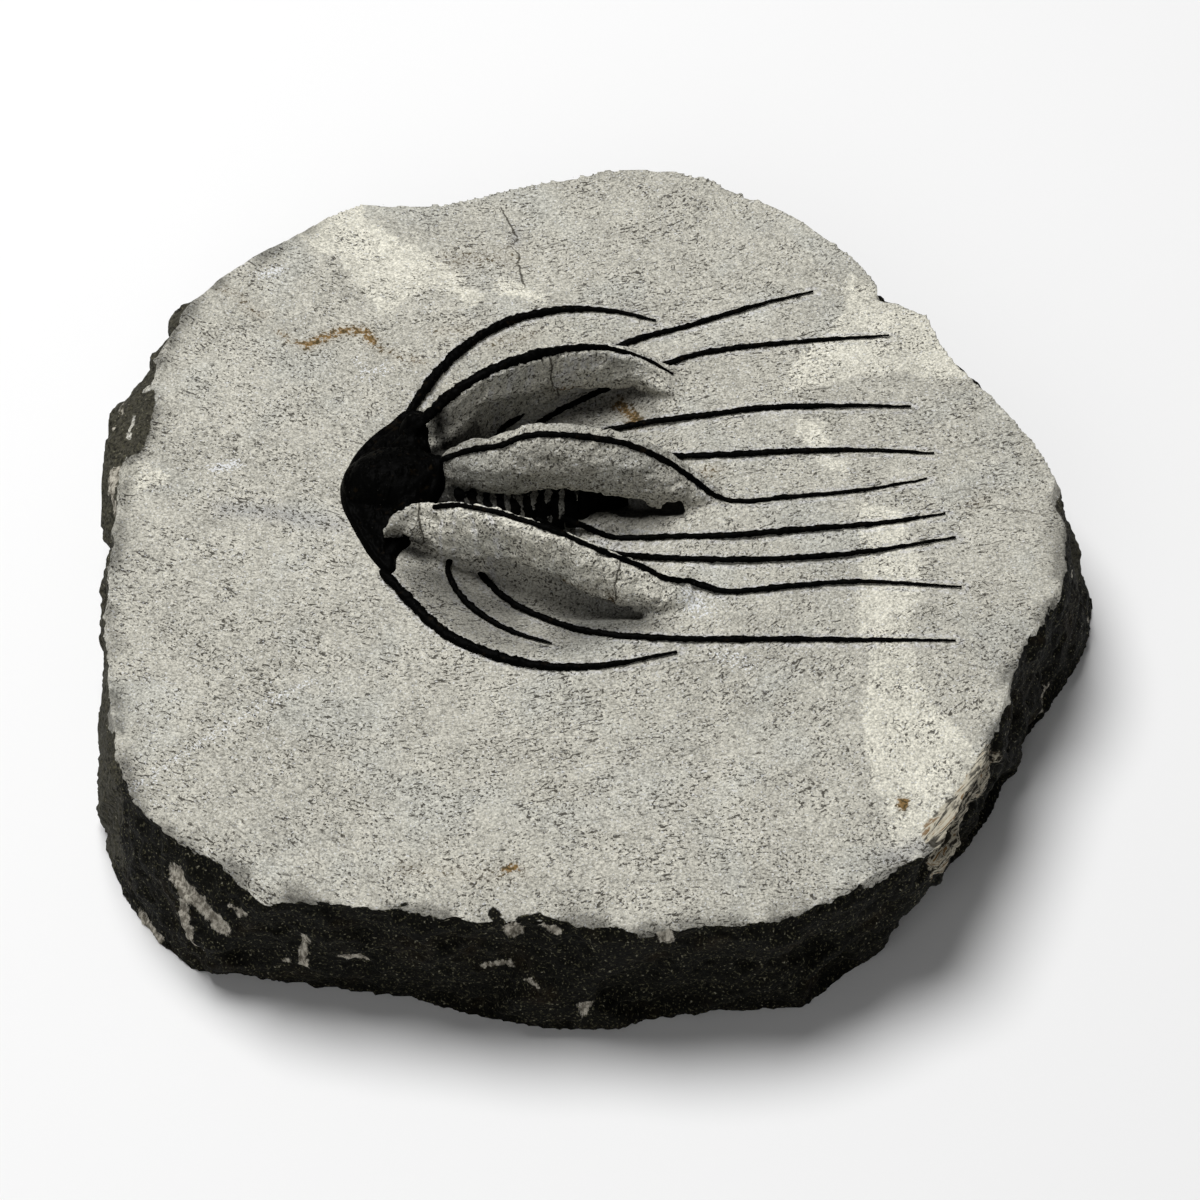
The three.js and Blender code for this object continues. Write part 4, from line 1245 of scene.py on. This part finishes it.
class Value:
    """One output socket in a material. Expressions on numbers add the Math nodes that they need."""

    def __init__(self, paint, socket):
        self.paint = paint
        self.socket = socket

    def math(self, operation, *others, first=None, clamp=False):
        operands = [self if first is None else first, *others]
        return self.paint.node("ShaderNodeMath", {"operation": operation, "use_clamp": clamp},
                               dict(enumerate(operands)))

    def __add__(self, other):
        return self.math("ADD", other)

    __radd__ = __add__

    def __sub__(self, other):
        return self.math("SUBTRACT", other)

    def __rsub__(self, other):
        return self.math("SUBTRACT", self, first=other)

    def __mul__(self, other):
        return self.math("MULTIPLY", other)

    __rmul__ = __mul__

    def clamp(self):
        return self.math("ADD", 0.0, clamp=True)

    def absolute(self):
        return self.math("ABSOLUTE")

    def at_least(self, other):
        return self.math("MAXIMUM", other)

    def at_most(self, other):
        return self.math("MINIMUM", other)

    def step(self, low, high):
        """0 below low, 1 above high, smooth between them."""
        return self.paint.node("ShaderNodeMapRange", {"interpolation_type": "SMOOTHSTEP"},
                               {"Value": self, "From Min": low, "From Max": high})


class Paint:
    """A material and its nodes."""

    def __init__(self, name):
        self.material = bpy.data.materials.new(name)
        self.material.use_nodes = True
        self.tree = self.material.node_tree
        self.shader = self.tree.nodes["Principled BSDF"]
        self.place = self.node("ShaderNodeTexCoord", output="Object")

    def node(self, kind, settings=None, values=None, output=0):
        """Adds a node: its settings first, then the values or links of its sockets."""
        made = self.tree.nodes.new(kind)
        for key, value in (settings or {}).items():
            setattr(made, key, value)
        for key, value in (values or {}).items():
            self.feed(made.inputs[key], value)
        return Value(self, made.outputs[output])

    def feed(self, socket, value):
        if isinstance(value, Value):
            self.tree.links.new(value.socket, socket)
        else:
            socket.default_value = value

    def finish(self, colour, roughness, specular, relief, distance, strength):
        """Sets the shader; relief raises the surface by up to the distance."""
        bump = self.node("ShaderNodeBump", None,
                         {"Height": relief, "Distance": distance, "Strength": strength})
        self.shader.inputs["Specular IOR Level"].default_value = specular
        for key, value in {"Base Color": colour, "Roughness": roughness, "Normal": bump}.items():
            self.feed(self.shader.inputs[key], value)
        return self.material

    def attribute(self, name, output="Fac"):
        return self.node("ShaderNodeAttribute", {"attribute_name": name}, output=output)

    def stretched(self, sizes, angle=0.0):
        """The place on the piece, turned about Z and then stretched."""
        return self.node("ShaderNodeMapping", {"vector_type": "TEXTURE"},
                         {"Vector": self.place, "Rotation": (0, 0, angle), "Scale": sizes})

    def noise(self, size, detail=2.0, roughness=0.5, distortion=0.0, place=None, seed=0.0):
        """Noise of the given wavelength in metres, 0 to 1 around 0.5."""
        moved = self.node("ShaderNodeVectorMath", {"operation": "ADD"},
                          {0: place or self.place, 1: (0.0171 * seed, 0.0113 * seed, 0.0067 * seed)})
        return self.node("ShaderNodeTexNoise", None,
                         {"Vector": moved, "Scale": 1 / size, "Detail": detail,
                          "Roughness": roughness, "Distortion": distortion}, output="Fac")

    def mix(self, share, low, high):
        """A colour from low to high."""
        return self.node("ShaderNodeMix", {"data_type": "RGBA"}, {0: share, 6: low, 7: high}, output=2)

    def scale(self, colour, amount):
        """A colour times a number."""
        plain = colour if isinstance(colour, Value) else colour[:3]
        return self.node("ShaderNodeVectorMath", {"operation": "SCALE"}, {0: plain, "Scale": amount})


# Colours of the rock's smaller marks.
COOL_STONE = (0.461, 0.454, 0.403, 1)
BESIDE_SPINES = (0.5, 0.5, 0.52, 1)
BLUISH = (0.24, 0.245, 0.27, 1)
WHITE_CRYSTAL_AND_GLINT = (0.74, 0.75, 0.76, 1)
DARK_RUST = (0.075, 0.055, 0.025, 1)
CRACK = (0.045, 0.04, 0.03, 1)
BROWN_ROCK = (0.022, 0.015, 0.007, 1)
PALER_SIDE = (0.085, 0.08, 0.06, 1)
OLIVE_GRAIN_GLINT = (0.088, 0.083, 0.048, 1)
PALE_GRAIN_GLINT = (0.29, 0.275, 0.22, 1)
FIBRE = (0.1, 0.094, 0.058, 1)
GREY_VEIN, CREAM_VEIN = (0.16, 0.145, 0.115, 1), (0.62, 0.58, 0.49, 1)
DARK_LAYER, CREAM_LAYER, RUSTY_LAYER = (0.02, 0.016, 0.01, 1), (0.5, 0.46, 0.36, 1), (0.2, 0.12, 0.05, 1)


def squiggles(paint, size, roughness, place, seed):
    """Thin winding lines: 1 along the middle level of a noise, 0 away from it."""
    wave = paint.noise(size, 2, roughness, place=place, seed=seed)
    return (1 - ((wave - 0.5) * 9.5).absolute()).at_least(0)


def dark_flecks(paint, path, medium, standing, band, smear):
    """Crisp dark squiggles along and across the tool's path, specks and pits, in clusters."""
    dashes = paint.noise(0.26 * MM, 0, place=path, seed=19).step(0.645, 0.69)
    bits = paint.noise(0.3 * MM, 0, seed=20).step(0.62, 0.665)
    lines = squiggles(paint, 0.42 * MM, 0.6, path, 15) * dashes
    lines = lines.at_least(squiggles(paint, 0.4 * MM, 0.65, None, 16) * bits)
    clusters = paint.noise(3.5 * MM, 2, 0.6, seed=9).step(0.38, 0.66)
    strength = clusters * 0.75 + 0.22 + smear - band * 0.2 + standing * 0.22
    specks = paint.noise(0.24 * MM, 1, 0.6, seed=11).step(0.68, 0.73)
    pits = medium.step(0.68, 0.74) * standing
    return (lines * strength * 2.4 + specks * strength * 1.5 + pits * 0.8).clamp()


def abraded_face(paint, fine, medium, standing):
    """Pale speckle of several sizes, with streaks and flecks along the tool's path, and the marks."""
    rock, _, _ = settings()
    path = paint.attribute("path", "Vector")
    broad = paint.noise(3.0 * MM, 1, 0.6, seed=2)
    wide = paint.noise(11 * MM, 1, 0.6, seed=3)
    streaks = paint.noise(0.19 * MM, 1, 0.6, place=path, seed=4)
    tone = 1 + (fine - 0.5) * 1.9 + (streaks - 0.5) * 0.6 + (medium - 0.5) * 0.6 + (broad - 0.5) * 0.4
    tone = tone + (wide - 0.5) * 0.3
    tint = paint.noise(8 * MM, 2, seed=5).step(0.5, 0.7)
    ragged_edge = (paint.noise(0.9 * MM, 3, 0.7, seed=7) - 0.5) * 2.6
    band = (paint.attribute("band") + ragged_edge).step(-0.3, 0.35)
    gap = paint.attribute("spine_gap")
    halo = gap.step(0.45, 0.6) * (1 - gap.step(0.75, 1.1)) * medium.step(0.4, 0.6)
    pale = paint.mix(tint, tuple(rock.face_colour), COOL_STONE)
    pale = paint.mix(band, pale, tuple(rock.calcite_colour))
    pale = paint.mix(halo * 0.5, pale, BESIDE_SPINES)
    # Painted light and shade: the fins a little lighter than the face, and lighter or darker again where the
    # fins' light and shade is painted.
    pale = paint.scale(pale, tone.at_least(0.2) * (1 + standing * 0.1 + paint.attribute("fin_light_and_shade") * 0.24))
    smear = (paint.attribute("smear") * (medium + 0.5)).clamp()
    pale = paint.mix(smear * 0.45, pale, BLUISH)
    flecks = dark_flecks(paint, path, medium, standing, band, smear)
    pale = paint.mix(flecks * 0.92, pale, tuple(rock.fleck_colour))

    # White specks, partly white crystals and partly painted glints, and the white crystal marks.
    white_specks_and_glints = paint.noise(0.26 * MM, 1, 0.6, seed=12)
    crystals = paint.attribute("crystals")
    crystals = (white_specks_and_glints + crystals * 0.28 - 0.68).step(0, 0.08) * (crystals * 5).at_most(1)
    pale = paint.mix((white_specks_and_glints.step(0.64, 0.7) * 0.65 + crystals * 0.85).clamp(), pale, WHITE_CRYSTAL_AND_GLINT)
    stain = paint.attribute("stain")
    blots = paint.noise(0.55 * MM, 2, 0.7, seed=14)
    spotted = (blots + stain * 0.32 - 0.67).step(0, 0.1) * (stain * 4).at_most(1)
    rust = paint.mix(blots.step(0.5, 0.62), tuple(rock.rust_colour), DARK_RUST)
    pale = paint.mix((spotted * 0.82 + stain * 0.2).clamp(), pale, rust)

    # Painted shade: the recess and dull marks darken the rock beneath the fins' lips, in the near half of the
    # hollow and before the first body plate; the dull mark also holds the duller rock along the rim.
    recess_shade, dull_and_shade = ((paint.attribute(name) * (medium * 0.5 + 0.75)).clamp() for name in ("recess_shade", "dull_and_shade"))
    pale = paint.scale(pale, (1 - recess_shade * 0.96) * (1 - dull_and_shade * 0.52))
    wander = (paint.noise(1.1 * MM, 3, 0.6, seed=15) - 0.5) * 0.7
    crack = 1 - (paint.attribute("crack") + wander).absolute().step(0.05, 0.17)
    return paint.mix(crack * paint.attribute("crack_strength") * 0.85, pale, CRACK)


def broken_rock(paint, grains):
    """Black grains with olive and grey crystals that are partly painted glints, brown hints, paler places and
    fibrous veins.
    """
    rock, _, _ = settings()
    brown = paint.noise(6 * MM, 2, 0.6, seed=17).step(0.52, 0.8)
    paler_side = (paint.attribute("paler_side") + (grains - 0.5) * 1.2).step(0.3, 0.85)
    glints = paint.noise(0.28 * MM, 1, 0.6, seed=29)
    fibres = paint.noise(0.5 * MM, 4, 0.75, place=paint.stretched((1, 1, 2.5)), seed=21)
    vein = (paint.attribute("vein") * 1.5 + (fibres - 0.5) * 1.6).step(0.5, 0.85)
    dark = paint.mix(brown * 0.7, tuple(rock.broken_colour), BROWN_ROCK)
    dark = paint.mix(paler_side * 0.8, dark, PALER_SIDE)
    dark = paint.scale(dark, (grains - 0.3).at_least(0.05) * 3.2)
    # Olive and pale specks: partly the crystals' own colour, partly painted glints.
    dark = paint.mix(glints.step(0.58, 0.67) * 0.65, dark, OLIVE_GRAIN_GLINT)
    dark = paint.mix(glints.step(0.71, 0.76) * 0.7, dark, PALE_GRAIN_GLINT)
    dark = paint.mix(fibres.step(0.58, 0.7) * 0.2, dark, FIBRE)
    return paint.mix(vein * 0.9, dark, paint.mix(fibres.step(0.4, 0.65), GREY_VEIN, CREAM_VEIN))


def limestone():
    """Dark limestone: pale where it was abraded, near-black where it broke."""
    paint = Paint("limestone")
    worked = paint.attribute("worked")
    standing = paint.attribute("standing")
    fine = paint.noise(0.24 * MM, 1, 0.8)
    medium = paint.noise(0.7 * MM, 1, 0.7, seed=1)
    grains = paint.noise(0.45 * MM, 3, 0.75, seed=13)
    ragged_rim = (paint.noise(1.3 * MM, 3, 0.65, seed=23) - 0.5) * 0.9
    face = (worked + ragged_rim).step(0.42, 0.58)
    colour = paint.mix(face, broken_rock(paint, grains), abraded_face(paint, fine, medium, standing))

    layers = paint.noise(0.55 * MM, 2, 0.6, 1.2, place=paint.stretched((7, 1, 1), math.radians(52)), seed=25)
    ledge = paint.mix(layers.step(0.42, 0.56), DARK_LAYER, CREAM_LAYER)
    ledge = paint.mix(layers.step(0.6, 0.66), ledge, RUSTY_LAYER)
    on_ledge = (paint.attribute("layered") + (medium - 0.5) * 0.9).step(0.4, 0.7)
    colour = paint.mix(on_ledge * 0.85, colour, ledge)
    roughness = 0.88 + (fine - 0.5) * 0.15 - (1 - face) * (grains * 0.3)
    relief = fine * 0.6 + medium * 0.5 + (1 - worked) * grains * 2.6 + standing * (medium * 1.4 + fine * 0.8)
    return paint.finish(colour, roughness, 0.08, relief, 0.13 * MM, 0.7)


def black_shell():
    """Black fossil calcite, matt, with a few pale specks."""
    made = bpy.data.materials.get("black_shell")
    if made:
        return made
    _, shell, _ = settings()
    paint = Paint("black_shell")
    grain = paint.noise(0.3 * MM, 3, 0.65)
    patches = paint.noise(1.8 * MM, 3, 0.6, seed=4)
    pale_specks = paint.noise(0.26 * MM, 2, 0.5, seed=8).step(0.72, 0.79)
    brown = paint.noise(1.1 * MM, 2, 0.6, seed=6).step(0.6, 0.74) * 0.5
    colour = paint.mix(brown, tuple(shell.shell_colour), (0.012, 0.008, 0.004, 1))
    colour = paint.scale(colour, 0.4 + grain + patches.step(0.5, 0.75) * 1.2)
    colour = paint.mix(pale_specks * 0.3, colour, (0.13, 0.125, 0.11, 1))
    roughness = 0.5 + (grain - 0.5) * 0.3 + pale_specks * 0.2
    return paint.finish(colour, roughness, 0.015, grain + patches * 0.6, 0.08 * MM, 0.6)


# ------------------------------------------------------------------ the studio


def build_floor():
    _, _, studio = settings()
    corners = 64
    turn = np.linspace(0, 2 * math.pi, corners, endpoint=False)
    circle = np.column_stack([np.cos(turn), np.sin(turn), np.zeros(corners)])
    rows = [reach * circle for reach in (0.001, 0.2, 0.6, 1.4, 3.0)]
    faces = [list(range(corners))]
    for row in range(len(rows) - 1):
        for i in range(corners):
            j = (i + 1) % corners
            a, b = row * corners, (row + 1) * corners
            faces.append([a + i, b + i, b + j, a + j])
    floor = make_object("studio_floor", np.concatenate(rows), faces)
    paint = Paint("studio_floor")
    shade = paint.noise(0.3, 2, seed=2)
    colour = paint.scale(tuple(studio.floor_colour), 0.99 + shade * 0.02)
    paint.feed(paint.shader.inputs["Base Color"], colour)
    paint.feed(paint.shader.inputs["Roughness"], 0.9 + shade * 0.05)
    floor.data.materials.append(paint.material)
    floor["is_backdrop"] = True


def add_area_light(name, place, size, power):
    """A round soft light that points at the middle of the slab."""
    data = bpy.data.lights.new(name, "AREA")
    data.shape = "DISK"
    data.size = size
    data.energy = power
    light = bpy.data.objects.new(name, data)
    light.location = place
    light.rotation_euler = (-Vector(place)).to_track_quat("-Z", "Y").to_euler()
    bpy.context.scene.collection.objects.link(light)


def add_camera():
    _, _, studio = settings()
    camera = bpy.data.objects.new("camera", bpy.data.cameras.new("camera"))
    rise = studio.camera_elevation
    back = Vector((0, -math.cos(rise), math.sin(rise)))
    camera.location = Vector(studio.camera_target) + studio.camera_distance * back
    camera.rotation_euler = (math.pi / 2 - rise, 0, 0)
    camera.data.lens = studio.camera_lens
    camera.data.sensor_width = 36
    camera.data.clip_start, camera.data.clip_end = 0.01, 10
    bpy.context.scene.collection.objects.link(camera)
    bpy.context.scene.camera = camera


def build_studio():
    build_floor()
    add_area_light("overhead_light", (-0.18, 0.17, 0.75), 0.45, 6.25)
    add_area_light("fill_light", (-0.3, -0.9, 0.6), 0.8, 2.0)
    world = bpy.data.worlds.new("studio_air")
    world.use_nodes = True
    air = world.node_tree.nodes["Background"]
    air.inputs["Color"].default_value = (1, 1, 1, 1)
    air.inputs["Strength"].default_value = 0.09
    bpy.context.scene.world = world
    bpy.context.scene.view_settings.view_transform = "Standard"
    add_camera()


# ------------------------------------------------------------------ operators and panel


class FOSSIL_OT_slab(bpy.types.Operator):
    """Build the limestone slab with its hollow and its three fins"""

    bl_idname = "fossil.slab"
    bl_label = "Limestone slab"

    def execute(self, context):
        build_slab()
        return {"FINISHED"}


class FOSSIL_OT_head(bpy.types.Operator):
    """Build the head shield"""

    bl_idname = "fossil.head"
    bl_label = "Head shield"

    def execute(self, context):
        build_head()
        return {"FINISHED"}


class FOSSIL_OT_body(bpy.types.Operator):
    """Build the nine body plates and the tail shield"""

    bl_idname = "fossil.body"
    bl_label = "Body plates"

    def execute(self, context):
        build_body_plates()
        build_tail_shield()
        return {"FINISHED"}


class FOSSIL_OT_spines(bpy.types.Operator):
    """Build the thirteen spines"""

    bl_idname = "fossil.spines"
    bl_label = "Spines"

    def execute(self, context):
        for number, name in enumerate(SPINES):
            build_spine(name, number)
        return {"FINISHED"}


class FOSSIL_OT_studio(bpy.types.Operator):
    """Add the floor, the lights and the camera"""

    bl_idname = "fossil.studio"
    bl_label = "Studio"

    def execute(self, context):
        build_studio()
        return {"FINISHED"}


OPERATORS = (FOSSIL_OT_slab, FOSSIL_OT_head, FOSSIL_OT_body, FOSSIL_OT_spines, FOSSIL_OT_studio)


class FOSSIL_PT_panel(bpy.types.Panel):
    """Buttons and sizes of the fossil, in the sidebar"""

    bl_idname = "FOSSIL_PT_panel"
    bl_label = "Fossil trilobite"
    bl_space_type = "VIEW_3D"
    bl_region_type = "UI"
    bl_category = "Fossil"

    def draw(self, context):
        for operator in OPERATORS:
            self.layout.operator(operator.bl_idname)
        for group in settings():
            for key in group.bl_rna.properties.keys():
                if key not in ("rna_type", "name"):
                    self.layout.prop(group, key)


GROUPS = (FossilRock, FossilShell, FossilStudio)


def register():
    for kind in (*GROUPS, *OPERATORS, FOSSIL_PT_panel):
        bpy.utils.register_class(kind)
    bpy.types.Scene.fossil_rock = PointerProperty(type=FossilRock)
    bpy.types.Scene.fossil_shell = PointerProperty(type=FossilShell)
    bpy.types.Scene.fossil_studio = PointerProperty(type=FossilStudio)


def unregister():
    del bpy.types.Scene.fossil_rock, bpy.types.Scene.fossil_shell, bpy.types.Scene.fossil_studio
    for kind in (FOSSIL_PT_panel, *OPERATORS[::-1], *GROUPS[::-1]):
        bpy.utils.unregister_class(kind)


def main():
    register()
    for build in (bpy.ops.fossil.slab, bpy.ops.fossil.head, bpy.ops.fossil.body, bpy.ops.fossil.spines,
                  bpy.ops.fossil.studio):
        build()


if __name__ == "__main__":
    main()
